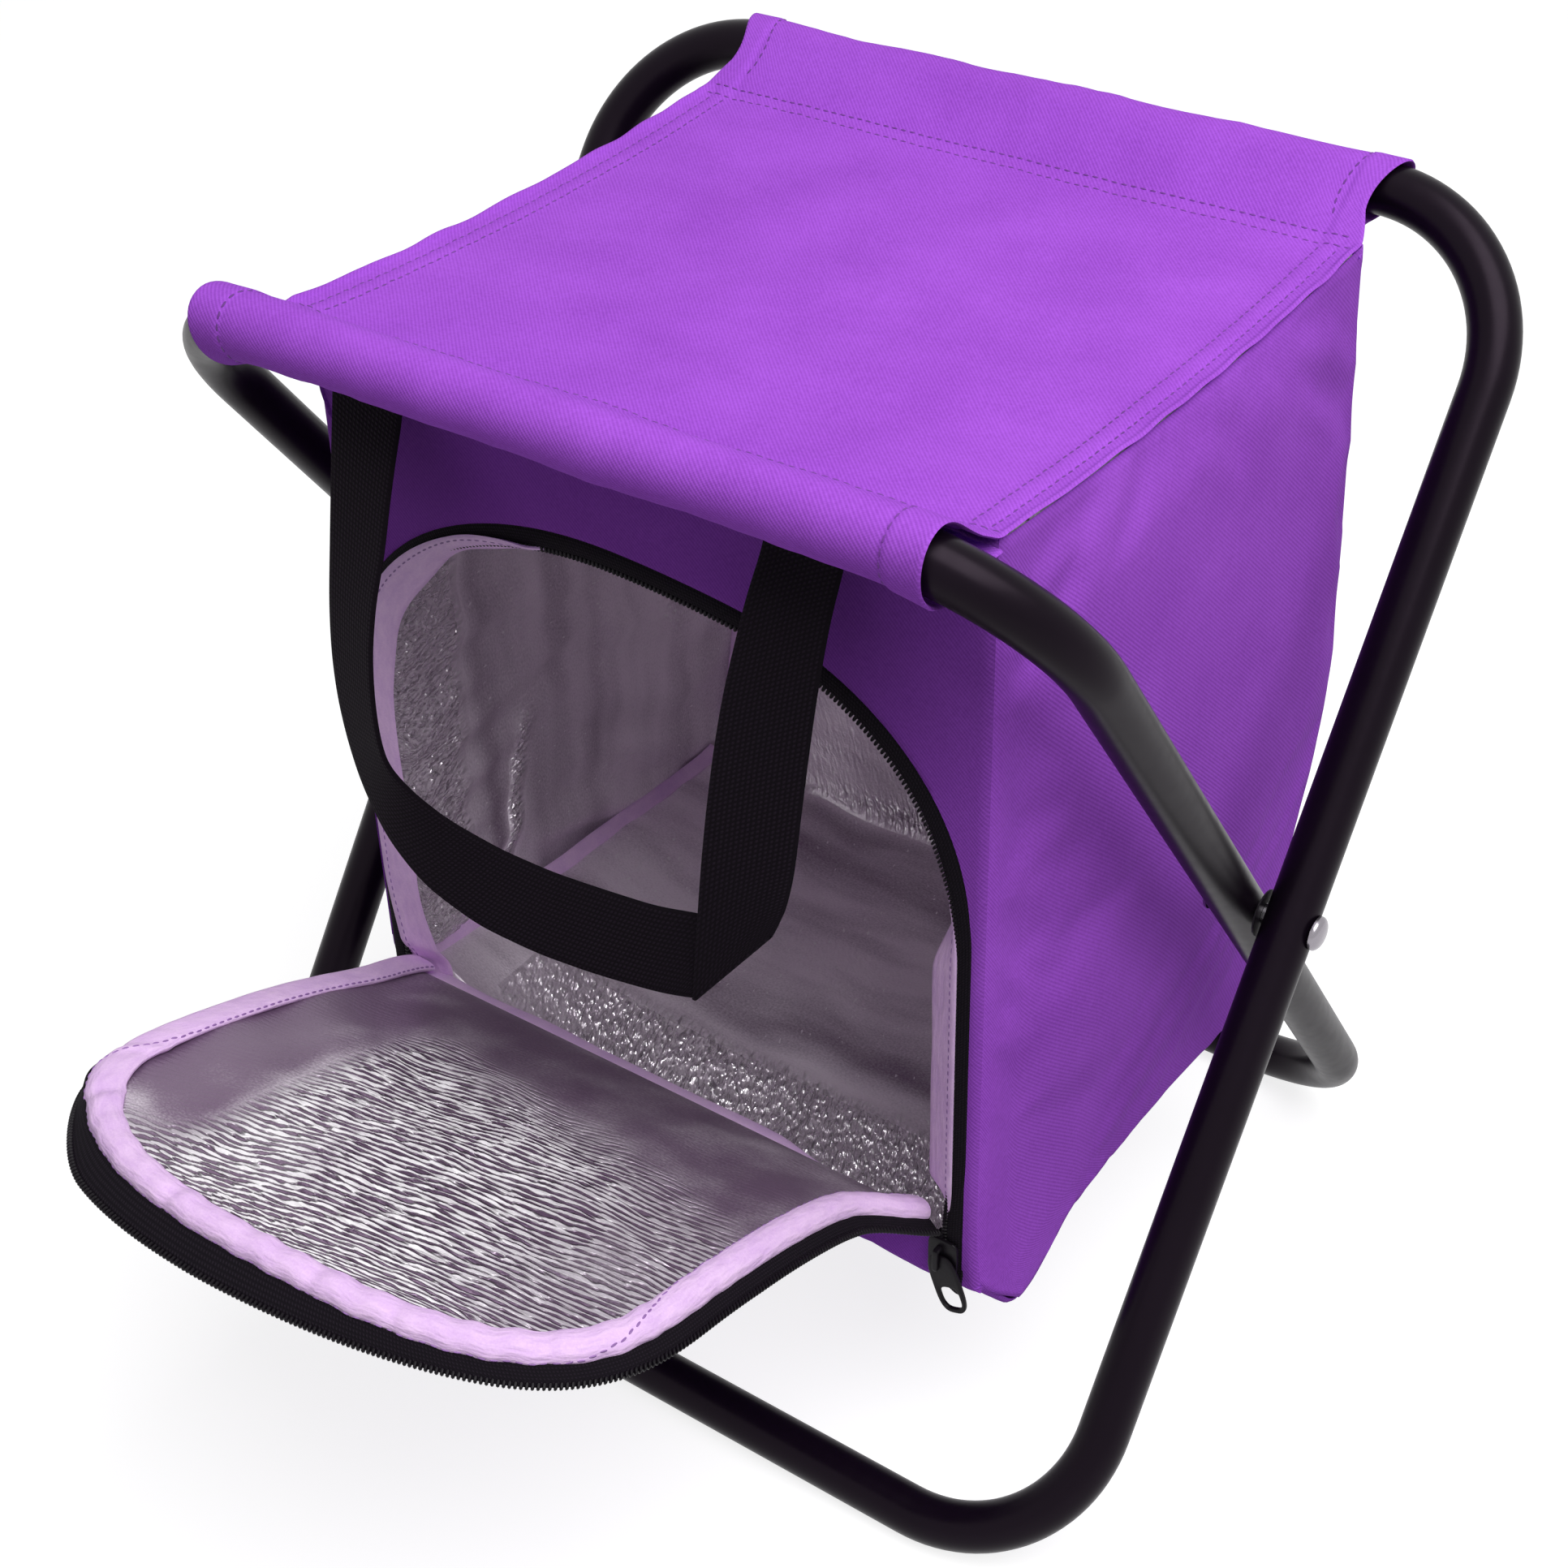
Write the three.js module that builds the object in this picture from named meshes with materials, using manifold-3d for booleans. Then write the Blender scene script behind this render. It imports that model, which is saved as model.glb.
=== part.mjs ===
// Folding cooler stool: two crossed loops of bent steel tube, a cloth seat sleeved over their top bars, and an
// insulated bag that hangs under the seat and opens at the front by an arched zip and a padded flap.
// Millimetres, +Z up. +X is to the right of someone who looks at the flap, and the flap points along -Y.
import * as THREE from 'three';
import { mergeVertices } from 'three/addons/utils/BufferGeometryUtils.js';
import Module from 'manifold-3d';

const wasm = await Module();
wasm.setup();

// Frame: two loops of bent tube that cross at the pivot
const tubeRadius = 8;
const tubeWall = 1;
const bendRadius = 51;
const barHeight = 358.1;
const barSpread = 255.4;
const outerLoopWidth = 330.4;
const tubeJointGap = 0.6;
const plugLength = 60;

// Gaps: between pieces that touch, and between pieces that slide or turn on each other
const clearance = 0.3;
const runningGap = 0.4;

// Pivot rivets and washers
const rivetRadius = 3;
const rivetHeadRadius = 6.5;
const rivetHeadHeight = 2.6;
const setHeadRadius = 4.9;
const setHeadHeight = 1.3;
const washerRadius = 7.5;
const washerThickness = 0.5;

// Seat cloth: a panel between two sleeves
const clothThickness = 1;
const seatSideGap = 19.6;
const sleeveThickness = 1.2;
const sleeveOverhang = 1;
const sleeveLooseShare = 0.1;
const seamInset = 27.7;
const seamDrop = 8.1;
const seatSag = 4;
const hemWidth = 12;
const hemThickness = 1.2;
const tuckHalfHeight = 3.6;

// Bag under the seat
const bagDrop = 282;
const bellyBulge = 12;
const footInset = 14;
const frontFold = 18;
const sideBulge = 4.5;
const foamThickness = 3;
const bellyShare = 0.49;
const footPowerShare = 1.2;

// Arched opening: the edge of the front cloth, from which the zip, the bindings and the flap are set in
const archMargin = 6;
const archTopMargin = 44;
const archRise = 91;
const archPowerShare = 2.3;
const zipFootHem = 2.4;
const hingeRise = 16.9;
const bagTapeWidth = 5.9;
const tapeThickness = 0.8;
const teethDepth = 1.5;
const teethThickness = 2.6;
const teethGap = 1.9;
const toothPitch = 6;
const flangeThickness = 0.8;
const flangeDepth = 13;
const cornerBindingWidth = 6;
const cornerBindingThickness = 1;

// Flap: it rises from its hinge at this angle and bows over on a large radius
const flapRise = THREE.MathUtils.degToRad(37.9);
const flapBowRadius = 345;
const hingeGap = 3;
const flapTapeStart = 8;
const flapTapeWidth = 5.7;
const flapBindingWidth = 10.8;
const flapBindingThickness = 3.6;

// Zip slider and its pull
const sliderLength = 11;
const sliderStart = 2.6;
const sliderPlate = 1.1;
const sliderReach = 6;
const sliderWall = 1;
const crownWidth = 1.6;
const crownBar = 1.2;
const pullBar = 1.2;
const pullHalfWidth = 3.6;
const pullLength = 21;

// Carry strap
const strapWidth = 25;
const strapThickness = 2;
const strapHalfSpan = 73;
const strapDrop = 155;
const strapCorner = 48;
const strapRootInset = 16.1;
const strapLean = THREE.MathUtils.degToRad(9.5);

// Facet counts and rows
const tubeSides = 16;
const roundSides = 24;
const bendSteps = 6;
const domeSteps = 4;
const foldSteps = 4;
const legSteps = 4;
const capSteps = 26;
const fineSteps = 720;
const overrun = 2;

// Values that follow from the sizes above
const cornerShare = 1 / Math.cos(Math.PI / tubeSides);
const tubeReach = tubeRadius * cornerShare;
const innerLoopWidth = outerLoopWidth - 2 * (2 * tubeReach + washerThickness + 2 * clearance);
const loopRise = barHeight - tubeRadius;
const loopHalfLength = Math.hypot(barSpread, loopRise) / 2;
const loopTilt = Math.atan2(loopRise, barSpread);
const pivotHeight = (barHeight + tubeRadius) / 2;
const sleeveBore = tubeRadius + clearance;
const sleeveRadius = sleeveBore + sleeveThickness;
const seatHalfWidth = innerLoopWidth / 2 - tubeReach - seatSideGap;
const seamFromPivot = barSpread / 2 - seamInset;
const seamHeight = barHeight - seamDrop;
const baseHeight = seamHeight - bagDrop;
const liningOuter = clothThickness + clearance;
const liningInner = liningOuter + foamThickness;
const liningHalfWidth = seatHalfWidth - liningInner - clearance;
const bellyHeight = lerp(baseHeight, seamHeight, bellyShare);
const archHalfWidth = seatHalfWidth - archMargin;
const archSpring = seamHeight - archTopMargin - archRise;
const zipFoot = baseHeight + frontFold + zipFootHem;
const hingeHeight = zipFoot + hingeRise;
const bagTeethInset = bagTapeWidth + 2 * clearance;
const sliderWallInset = bagTeethInset + teethDepth + runningGap + sliderWall;
const flapTeethInset = bagTeethInset + teethDepth + teethGap;
const flapTapeInset = flapTeethInset + teethDepth + clearance;
const flapEdgeInset = flapTapeInset + flapTapeWidth + clearance;
const tabHalfWidth = archHalfWidth - sliderWallInset - runningGap - clearance;
const zipPlane = -seamFromPivot + tapeThickness / 2;
const sliderOpening = teethThickness / 2 + runningGap;
const sliderOuter = sliderOpening + sliderPlate;
const eyeSize = pullBar + 2 * runningGap;

const finishes = {
  paintedSteel: new THREE.MeshStandardMaterial({ color: 0x17121a, roughness: 0.22, metalness: 0.4 }),
  zincSteel: new THREE.MeshStandardMaterial({ color: 0xb9b9be, roughness: 0.3, metalness: 0.9 }),
  purpleCloth: new THREE.MeshStandardMaterial({ color: 0x8a35c4, roughness: 0.85, metalness: 0 }),
  foil: new THREE.MeshStandardMaterial({ color: 0xa79cab, roughness: 0.28, metalness: 0.8 }),
  lilacTape: new THREE.MeshStandardMaterial({ color: 0xcfa6e4, roughness: 0.8, metalness: 0 }),
  blackWebbing: new THREE.MeshStandardMaterial({ color: 0x16121a, roughness: 0.8, metalness: 0 }),
  blackNylon: new THREE.MeshStandardMaterial({ color: 0x0e0c10, roughness: 0.5, metalness: 0 }),
};

// Helpers

function lerp(a, b, share) {
  return a + (b - a) * share;
}

function even(from, to, steps) {
  return Array.from({ length: steps + 1 }, (_, k) => from + ((to - from) * k) / steps);
}

// A geometry keeps only its corners, merged, so that every edge is shared by two faces.
function closed(geometry) {
  geometry.deleteAttribute('normal');
  geometry.deleteAttribute('uv');
  return mergeVertices(geometry, clearance / 1000);
}

function toSolid(geometry) {
  const merged = closed(geometry);
  const vertProperties = new Float32Array(merged.attributes.position.array);
  const triVerts = new Uint32Array(merged.index.array);
  return new wasm.Manifold(new wasm.Mesh({ numProp: 3, vertProperties, triVerts }));
}

function fromSolid(solid) {
  const mesh = solid.getMesh();
  const geometry = new THREE.BufferGeometry();
  geometry.setAttribute('position', new THREE.BufferAttribute(mesh.vertProperties, 3));
  geometry.setIndex(new THREE.BufferAttribute(mesh.triVerts, 1));
  return geometry;
}

function cut(geometry, cutters) {
  return fromSolid(cutters.reduce((solid, cutter) => solid.subtract(toSolid(cutter)), toSolid(geometry)));
}

function join(first, second) {
  return fromSolid(toSolid(first).add(toSolid(second)));
}

function piece(name, geometry, finish) {
  const mesh = new THREE.Mesh(closed(geometry), finish);
  mesh.name = name;
  return mesh;
}

// A slab between two surfaces, each of which gives a point for stations u and v. A ring closes on itself in u.
function slab(front, back, us, vs, ring = false) {
  const sheets = [front, back].map((surface) => us.map((u) => vs.map((v) => surface(u, v))));
  const last = vs.length - 1;
  const at = (sheet, i, j) => (sheet * us.length + (i % us.length)) * vs.length + j;
  const index = [];
  const quad = (a, b, c, d) => index.push(a, b, c, a, c, d);
  const rows = ring ? us.length : us.length - 1;
  for (let i = 0; i < rows; i += 1) {
    for (let j = 0; j < last; j += 1) {
      quad(at(0, i, j), at(0, i + 1, j), at(0, i + 1, j + 1), at(0, i, j + 1));
      quad(at(1, i, j), at(1, i, j + 1), at(1, i + 1, j + 1), at(1, i + 1, j));
    }
    quad(at(0, i, 0), at(1, i, 0), at(1, i + 1, 0), at(0, i + 1, 0));
    quad(at(0, i, last), at(0, i + 1, last), at(1, i + 1, last), at(1, i, last));
  }
  for (let j = 0; j < last && !ring; j += 1) {
    quad(at(0, 0, j), at(0, 0, j + 1), at(1, 0, j + 1), at(1, 0, j));
    quad(at(0, rows, j), at(1, rows, j), at(1, rows, j + 1), at(0, rows, j + 1));
  }
  const points = sheets.flat(2).map((point) => new THREE.Vector3(...point));
  const corners = (k) => [points[index[k]], points[index[k + 1]], points[index[k + 2]]];
  let volume = 0;
  for (let k = 0; k < index.length; k += 3) {
    const [a, b, c] = corners(k);
    volume += b.clone().cross(c).dot(a);
  }
  // A negative volume means that the faces look inwards, so they are turned round.
  if (volume < 0) index.reverse();
  const geometry = new THREE.BufferGeometry().setFromPoints(points);
  geometry.setIndex(index);
  return geometry;
}

// Frame tubes

// A regular polygon with its flats at the radius. One flat faces the given angle.
function facets(radius, sides, facing) {
  const corner = radius / Math.cos(Math.PI / sides);
  return even(0, 2 * Math.PI, sides).slice(1).map((turn) => {
    const angle = facing + turn - Math.PI / sides;
    return new THREE.Vector2(corner * Math.cos(angle), corner * Math.sin(angle));
  });
}

// A path that is known at its stations only, so that a straight run is one step and a bend is several.
class StationPath extends THREE.Curve {
  constructor(stations) {
    super();
    this.stations = stations;
  }

  station(share) {
    return this.stations[Math.round(share * (this.stations.length - 1))];
  }

  getPointAt(share, target = new THREE.Vector3()) {
    return target.copy(this.station(share).point);
  }

  getTangentAt(share, target = new THREE.Vector3()) {
    return target.copy(this.station(share).tangent);
  }
}

// Stations round a loop in its own XY plane, clockwise from the middle of its top bar and back to it.
function loopStations(halfWidth) {
  const across = halfWidth - bendRadius;
  const along = loopHalfLength - bendRadius;
  const end = (x) => ({ point: new THREE.Vector3(x, loopHalfLength, 0), tangent: new THREE.Vector3(1, 0, 0) });
  const quarter = Math.PI / 2;
  const cornerSigns = [[1, 1], [1, -1], [-1, -1], [-1, 1]];
  const bends = cornerSigns.flatMap(([x, y], corner) => even(0, quarter, bendSteps).map((turned) => {
    const angle = quarter - corner * quarter - turned;
    const outward = new THREE.Vector3(Math.cos(angle), Math.sin(angle), 0);
    const point = new THREE.Vector3(x * across, y * along, 0).addScaledVector(outward, bendRadius);
    return { point, tangent: new THREE.Vector3(Math.sin(angle), -Math.cos(angle), 0) };
  }));
  return [end(tubeJointGap / 2), ...bends, end(-tubeJointGap / 2)];
}

function loopTube(loopWidth, facing) {
  const section = new THREE.Shape(facets(tubeRadius, tubeSides, facing));
  section.holes.push(new THREE.Path(facets(tubeRadius - tubeWall, tubeSides, facing)));
  const stations = loopStations(loopWidth / 2);
  const extrudePath = new StationPath(stations);
  const tube = new THREE.ExtrudeGeometry(section, { steps: stations.length - 1, extrudePath });
  const drills = [loopWidth / 2, -loopWidth / 2].map((x) => {
    const radius = rivetRadius + clearance;
    const drill = new THREE.CylinderGeometry(radius, radius, 2 * tubeReach + overrun, roundSides);
    return drill.rotateZ(Math.PI / 2).translate(x, 0, 0);
  });
  return cut(tube, drills);
}

function jointPlug() {
  const radius = tubeRadius - tubeWall - clearance;
  const plug = new THREE.CylinderGeometry(radius, radius, plugLength, tubeSides);
  return plug.rotateZ(Math.PI / 2).translate(0, loopHalfLength, 0);
}

// How far the top bar has bent down towards the pivot at x, on the inner side of its sleeve.
function bendDrop(x, loopWidth) {
  const inner = bendRadius - sleeveRadius;
  const past = Math.max(0, Math.abs(x) - (loopWidth / 2 - bendRadius));
  return inner - Math.sqrt(inner ** 2 - Math.min(past, inner) ** 2);
}

// A sleeve fits its bar closely, and near its ends hangs open on the side to which the bar bends away.
function sleeve(loopWidth, facing) {
  const surface = (radius) => (corner, x) => {
    const drop = bendDrop(x, loopWidth);
    const point = facets(radius + sleeveLooseShare * drop, tubeSides, facing)[corner];
    const lag = (drop * (1 - Math.sin(point.angle()))) / 2;
    return [x, loopHalfLength + point.y - lag, -point.x];
  };
  const halfRun = seatHalfWidth + sleeveOverhang;
  const straight = loopWidth / 2 - bendRadius;
  const bends = even(0, Math.PI / 2, bendSteps).map((angle) => straight + bendRadius * Math.sin(angle));
  const right = [...bends.filter((x) => x < halfRun), halfRun];
  const left = right.map((x) => -x).reverse();
  const corners = [...Array(tubeSides).keys()];
  return slab(surface(sleeveRadius), surface(sleeveBore), corners, [...left, ...right], true);
}

function loopGroup(name, sleeveName, loopWidth, tilt) {
  const group = new THREE.Group();
  group.position.z = pivotHeight;
  group.rotation.x = tilt;
  group.add(piece(`${name}_tube`, loopTube(loopWidth, tilt), finishes.paintedSteel));
  group.add(piece(`${name}_joint_plug`, jointPlug(), finishes.zincSteel));
  group.add(piece(sleeveName, sleeve(loopWidth, tilt), finishes.purpleCloth));
  return group;
}

// A rivet points outwards: a set head inside the inner leg, a shank through both legs, and a domed head.
function rivet(side) {
  const inside = innerLoopWidth / 2 - tubeReach - clearance;
  const outside = outerLoopWidth / 2 + tubeReach + clearance;
  const dome = even(0, Math.PI / 2, domeSteps).slice(0, -1).map((angle) => {
    return new THREE.Vector2(rivetHeadRadius * Math.cos(angle), outside + rivetHeadHeight * Math.sin(angle));
  });
  const profile = [
    new THREE.Vector2(0, inside - setHeadHeight),
    new THREE.Vector2(setHeadRadius, inside - setHeadHeight),
    new THREE.Vector2(setHeadRadius, inside),
    new THREE.Vector2(rivetRadius, inside),
    new THREE.Vector2(rivetRadius, outside),
    ...dome,
    new THREE.Vector2(0, outside + rivetHeadHeight),
  ];
  return new THREE.LatheGeometry(profile, roundSides).rotateZ((-side * Math.PI) / 2);
}

function washer() {
  const ring = new THREE.Shape(facets(washerRadius, roundSides, 0));
  ring.holes.push(new THREE.Path(facets(rivetRadius + clearance, roundSides, 0)));
  const geometry = new THREE.ExtrudeGeometry(ring, { depth: washerThickness, bevelEnabled: false });
  return geometry.rotateY(Math.PI / 2).translate(-washerThickness / 2, 0, 0);
}

// Seat panel

// A tuck is where the panel meets a sleeve. v is -2 at the front tuck, -1 and 1 at the seams, and 2 at the back.
function seatDepth(x, v) {
  if (Math.abs(v) <= 1) return v * seamFromPivot;
  const drop = bendDrop(x, v < 0 ? innerLoopWidth : outerLoopWidth);
  const sleeveReach = (sleeveRadius + sleeveLooseShare * drop) * cornerShare + drop * Math.cos(loopTilt);
  return Math.sign(v) * lerp(seamFromPivot, barSpread / 2 - sleeveReach - clearance, Math.abs(v) - 1);
}

function seatHeight(v, seamFace, tuckFace) {
  if (Math.abs(v) <= 1) return seamHeight + seamFace - seatSag * (1 - v ** 2);
  return lerp(seamHeight + seamFace, barHeight + tuckFace, Math.abs(v) - 1);
}

function seatPanel() {
  const hemEdge = seatHalfWidth - hemWidth;
  const right = [innerLoopWidth / 2 - bendRadius, hemEdge - hemThickness, hemEdge, seatHalfWidth];
  const left = right.map((x) => -x).reverse();
  const hem = (x) => (Math.abs(x) >= hemEdge ? hemThickness : 0);
  const top = (x, v) => [x, seatDepth(x, v), seatHeight(v, 0, tuckHalfHeight)];
  const under = (x, v) => [x, seatDepth(x, v), seatHeight(v, -clothThickness, -tuckHalfHeight) - hem(x)];
  return slab(top, under, [...left, ...right], [-2, ...even(-1, 1, 10), 2]);
}

// The height at which the bag's walls end, just under the seat's hem.
function wallTop(y) {
  const v = THREE.MathUtils.clamp(y / seamFromPivot, -1, 1);
  return seatHeight(v, -clothThickness, 0) - hemThickness - clearance;
}

// Bag walls. A face's depth is how far it lies inside the outer face of the cloth.

// The back wall leans out from its foot to the belly, and comes in again to the seat's seam.
function backWall(z) {
  const climb = THREE.MathUtils.clamp((z - baseHeight) / (bellyHeight - baseHeight), 0, 1);
  const neck = THREE.MathUtils.clamp((z - bellyHeight) / (seamHeight - bellyHeight), 0, 1);
  const belly = seamFromPivot + bellyBulge;
  return belly - (bellyBulge + footInset) * (1 - climb) ** footPowerShare - bellyBulge * neck ** 2;
}

// Rows of a wall from its foot up: close together in the front fold, then wider apart.
const rowShares = [0, 0.005, 0.018, 0.039, 0.066, 0.14, 0.25, 0.38, 0.52, 0.68, 0.84, 1];

function sidePoint(side, depth, edge, along, rowShare) {
  const foot = baseHeight + edge;
  const fold = frontFold - edge;
  const height = lerp(foot, wallTop(seamFromPivot), rowShare);
  const below = Math.max(0, fold - (height - foot));
  const front = -seamFromPivot + edge + fold - Math.sqrt(fold ** 2 - below ** 2);
  const y = lerp(front, backWall(height) - edge, along);
  const swell = 16 * sideBulge * rowShare * (1 - rowShare) * along * (1 - along);
  return [side * (seatHalfWidth + swell - depth), y, lerp(foot, wallTop(y), rowShare)];
}

function sideWall(side, outer, inner) {
  const edge = outer;
  const surface = (depth) => (along, row) => sidePoint(side, depth, edge, along, row);
  return slab(surface(outer), surface(inner), even(0, 1, 6), rowShares);
}

function backPanel(outer, inner, halfWidth) {
  const surface = (depth) => (x, row) => {
    const z = lerp(baseHeight + outer, wallTop(seamFromPivot), row);
    return [x, backWall(z) - depth, z];
  };
  return slab(surface(outer), surface(inner), [-halfWidth, halfWidth], rowShares);
}

// The base starts under the front wall, turns through the front fold and runs flat to the back wall's foot.
function basePanel(outer, inner, halfWidth) {
  const profile = (depth) => {
    const radius = frontFold - depth;
    const fold = even(0, Math.PI / 2, foldSteps).map((angle) => {
      const y = frontFold - seamFromPivot - radius * Math.cos(angle);
      return [y, baseHeight + frontFold - radius * Math.sin(angle)];
    });
    fold[0][1] -= clearance;
    return [...fold, [backWall(baseHeight) - inner - clearance, baseHeight + depth]];
  };
  const surface = (depth) => (x, k) => [x, ...profile(depth)[k]];
  return slab(surface(outer), surface(inner), [-halfWidth, halfWidth], even(0, foldSteps + 1, foldSteps + 1));
}

// The foil-faced lid lies under the seat panel.
function lidLining() {
  const reach = seamFromPivot - liningInner - clearance;
  const face = (drop) => (x, y) => [x, y, wallTop(y) - drop];
  return slab(face(0), face(foamThickness), [-liningHalfWidth, liningHalfWidth], even(-reach, reach, 8));
}

// A wall in the front plane. The zip's slot leaves a tab of cloth that reaches up to the flap's hinge.
function frontPanel(outer, inner, halfWidth, inset) {
  const foot = baseHeight + frontFold;
  const top = wallTop(seamFromPivot);
  const tabTop = hingeHeight - flangeThickness - clearance;
  const outline = new THREE.Shape();
  outline.moveTo(-halfWidth, foot);
  outline.lineTo(halfWidth, foot);
  outline.lineTo(halfWidth, top);
  outline.lineTo(-halfWidth, top);
  const arch = archStations(zipFoot).map((station) => new THREE.Vector2(...station(inset)));
  const tab = [[-1, zipFoot], [-1, tabTop], [1, tabTop], [1, zipFoot]];
  const slot = [...arch, ...tab.map(([side, z]) => new THREE.Vector2(side * tabHalfWidth, z))];
  outline.holes.push(new THREE.Path(slot));
  const wall = new THREE.ExtrudeGeometry(outline, { depth: inner - outer, bevelEnabled: false });
  return wall.rotateX(Math.PI / 2).translate(0, inner - seamFromPivot, 0);
}

// Arch

// A point of the arch, inset from the cloth's edge. turn runs from 0 at the right spring to PI at the left.
function archPoint(turn, inset) {
  const power = 2 / archPowerShare;
  const x = Math.sign(Math.cos(turn)) * Math.abs(Math.cos(turn)) ** power * (archHalfWidth - inset);
  return [x, archSpring + Math.abs(Math.sin(turn)) ** power * (archRise - inset)];
}

// Stations from the right foot, over the arch, to the left foot. Each gives its point at any inset.
function archStations(foot) {
  const leg = (side) => even(foot, archSpring, legSteps).slice(0, -1).map((z) => (inset) => {
    return [side * (archHalfWidth - inset), z];
  });
  const cap = even(0, Math.PI, capSteps).map((turn) => (inset) => archPoint(turn, inset));
  return [...leg(1), ...cap, ...leg(-1).reverse()];
}

// Stations for a row of teeth: evenly spaced along the arch, half a tooth apart.
function toothStations(foot, inset) {
  const turns = even(0, Math.PI, fineSteps);
  const capRuns = [0];
  for (let k = 1; k <= fineSteps; k += 1) {
    const from = archPoint(turns[k - 1], inset);
    const to = archPoint(turns[k], inset);
    capRuns.push(capRuns[k - 1] + Math.hypot(to[0] - from[0], to[1] - from[1]));
  }
  const leg = archSpring - foot;
  const total = 2 * leg + capRuns[fineSteps];
  return even(0, total, 2 * Math.round(total / toothPitch)).map((run) => {
    if (run <= leg) return (depth) => [archHalfWidth - depth, foot + run];
    if (run >= total - leg) return (depth) => [depth - archHalfWidth, foot + total - run];
    const turn = turns[capRuns.findIndex((capRun) => capRun >= run - leg)];
    return (depth) => archPoint(turn, depth);
  });
}

// Every second station draws the edge at tip back to root, which gives the edge its teeth.
function toothed(stations, tip, root) {
  return stations.map((station, k) => (depth) => station(depth === tip && k % 2 ? root : depth));
}

// A band between two insets, which stands in the front wall.
function frontBand(stations, insets, front, back) {
  const surface = (y) => (station, inset) => {
    const [x, z] = station(inset);
    return [x, y, z];
  };
  return slab(surface(front), surface(back), stations, insets);
}

function bagTeeth() {
  const tip = bagTeethInset + teethDepth;
  const stations = toothStations(zipFoot + clearance, bagTeethInset);
  const insets = [bagTeethInset, tip];
  const toothedStations = toothed(stations, tip, tip - teethDepth / 2);
  return frontBand(toothedStations, insets, zipPlane - teethThickness / 2, zipPlane + teethThickness / 2);
}

// Flap. run is the length along the cloth from the hinge, and lift is the height above the cloth's lower face.

function flapPoint(x, run, lift) {
  const heading = flapRise - run / flapBowRadius;
  const y = flapBowRadius * (Math.sin(heading) - Math.sin(flapRise)) + lift * Math.sin(heading);
  const z = flapBowRadius * (Math.cos(heading) - Math.cos(flapRise)) + lift * Math.cos(heading);
  return [x, y - seamFromPivot, z + hingeHeight];
}

function flapBand(stations, insets, low, high) {
  const surface = (lift) => (station, inset) => {
    const [x, height] = station(inset);
    return flapPoint(x, height - hingeHeight, lift);
  };
  return slab(surface(low), surface(high), stations, insets);
}

// A full layer of the flap, in rows across it, the last of which is its short straight tip.
function flapSheet(inset, low, high) {
  const rows = archStations(hingeHeight + hingeGap).slice(0, legSteps + capSteps / 2);
  const surface = (lift) => (row, share) => {
    const [x, height] = row(inset);
    return flapPoint(x * share, height - hingeHeight, lift);
  };
  return slab(surface(low), surface(high), rows, [-1, 0, 1]);
}

function flapTeeth() {
  const insets = [flapTeethInset, flapTeethInset + teethDepth];
  const stations = toothStations(hingeHeight + flapTapeStart, flapTeethInset);
  const toothedStations = toothed(stations, flapTeethInset, flapTeethInset + teethDepth / 2);
  const low = (tapeThickness - teethThickness) / 2;
  return flapBand(toothedStations, insets, low, low + teethThickness);
}

// The flap hinges on a strip that lies on the front wall's tab and turns up the flap as far as its edge.
function hingeBinding() {
  const halfWidth = archHalfWidth - flapEdgeInset;
  const low = hingeHeight - flangeThickness;
  const back = liningInner - seamFromPivot;
  const lower = [[back, low], [-seamFromPivot, low], flapPoint(0, hingeGap - clearance, 0).slice(1)];
  const upper = [
    [back, hingeHeight],
    [flangeThickness / 2 - seamFromPivot, hingeHeight],
    flapPoint(0, hingeGap - clearance, flangeThickness).slice(1),
  ];
  const surface = (line) => (x, k) => [x, ...line[k]];
  return slab(surface(lower), surface(upper), [-halfWidth, halfWidth], [0, 1, 2]);
}

// Bindings over the seams inside the bag

function baseBinding(side) {
  const low = baseHeight + liningInner + clearance;
  const from = frontFold - seamFromPivot;
  const to = backWall(low) - liningInner - 2 * clearance - cornerBindingThickness;
  const strip = new THREE.BoxGeometry(cornerBindingWidth, to - from, cornerBindingThickness);
  const x = side * (liningHalfWidth - cornerBindingWidth / 2);
  return strip.translate(x, (from + to) / 2, low + cornerBindingThickness / 2);
}

function backBinding(side) {
  const face = liningInner + clearance;
  const top = wallTop(seamFromPivot - face - cornerBindingThickness) - foamThickness - clearance;
  const surface = (depth) => (x, row) => {
    const z = lerp(baseHeight + face, top, row);
    return [side * x, backWall(z) - depth, z];
  };
  const xs = [liningHalfWidth - cornerBindingWidth, liningHalfWidth];
  return slab(surface(face), surface(face + cornerBindingThickness), xs, rowShares);
}

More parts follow.
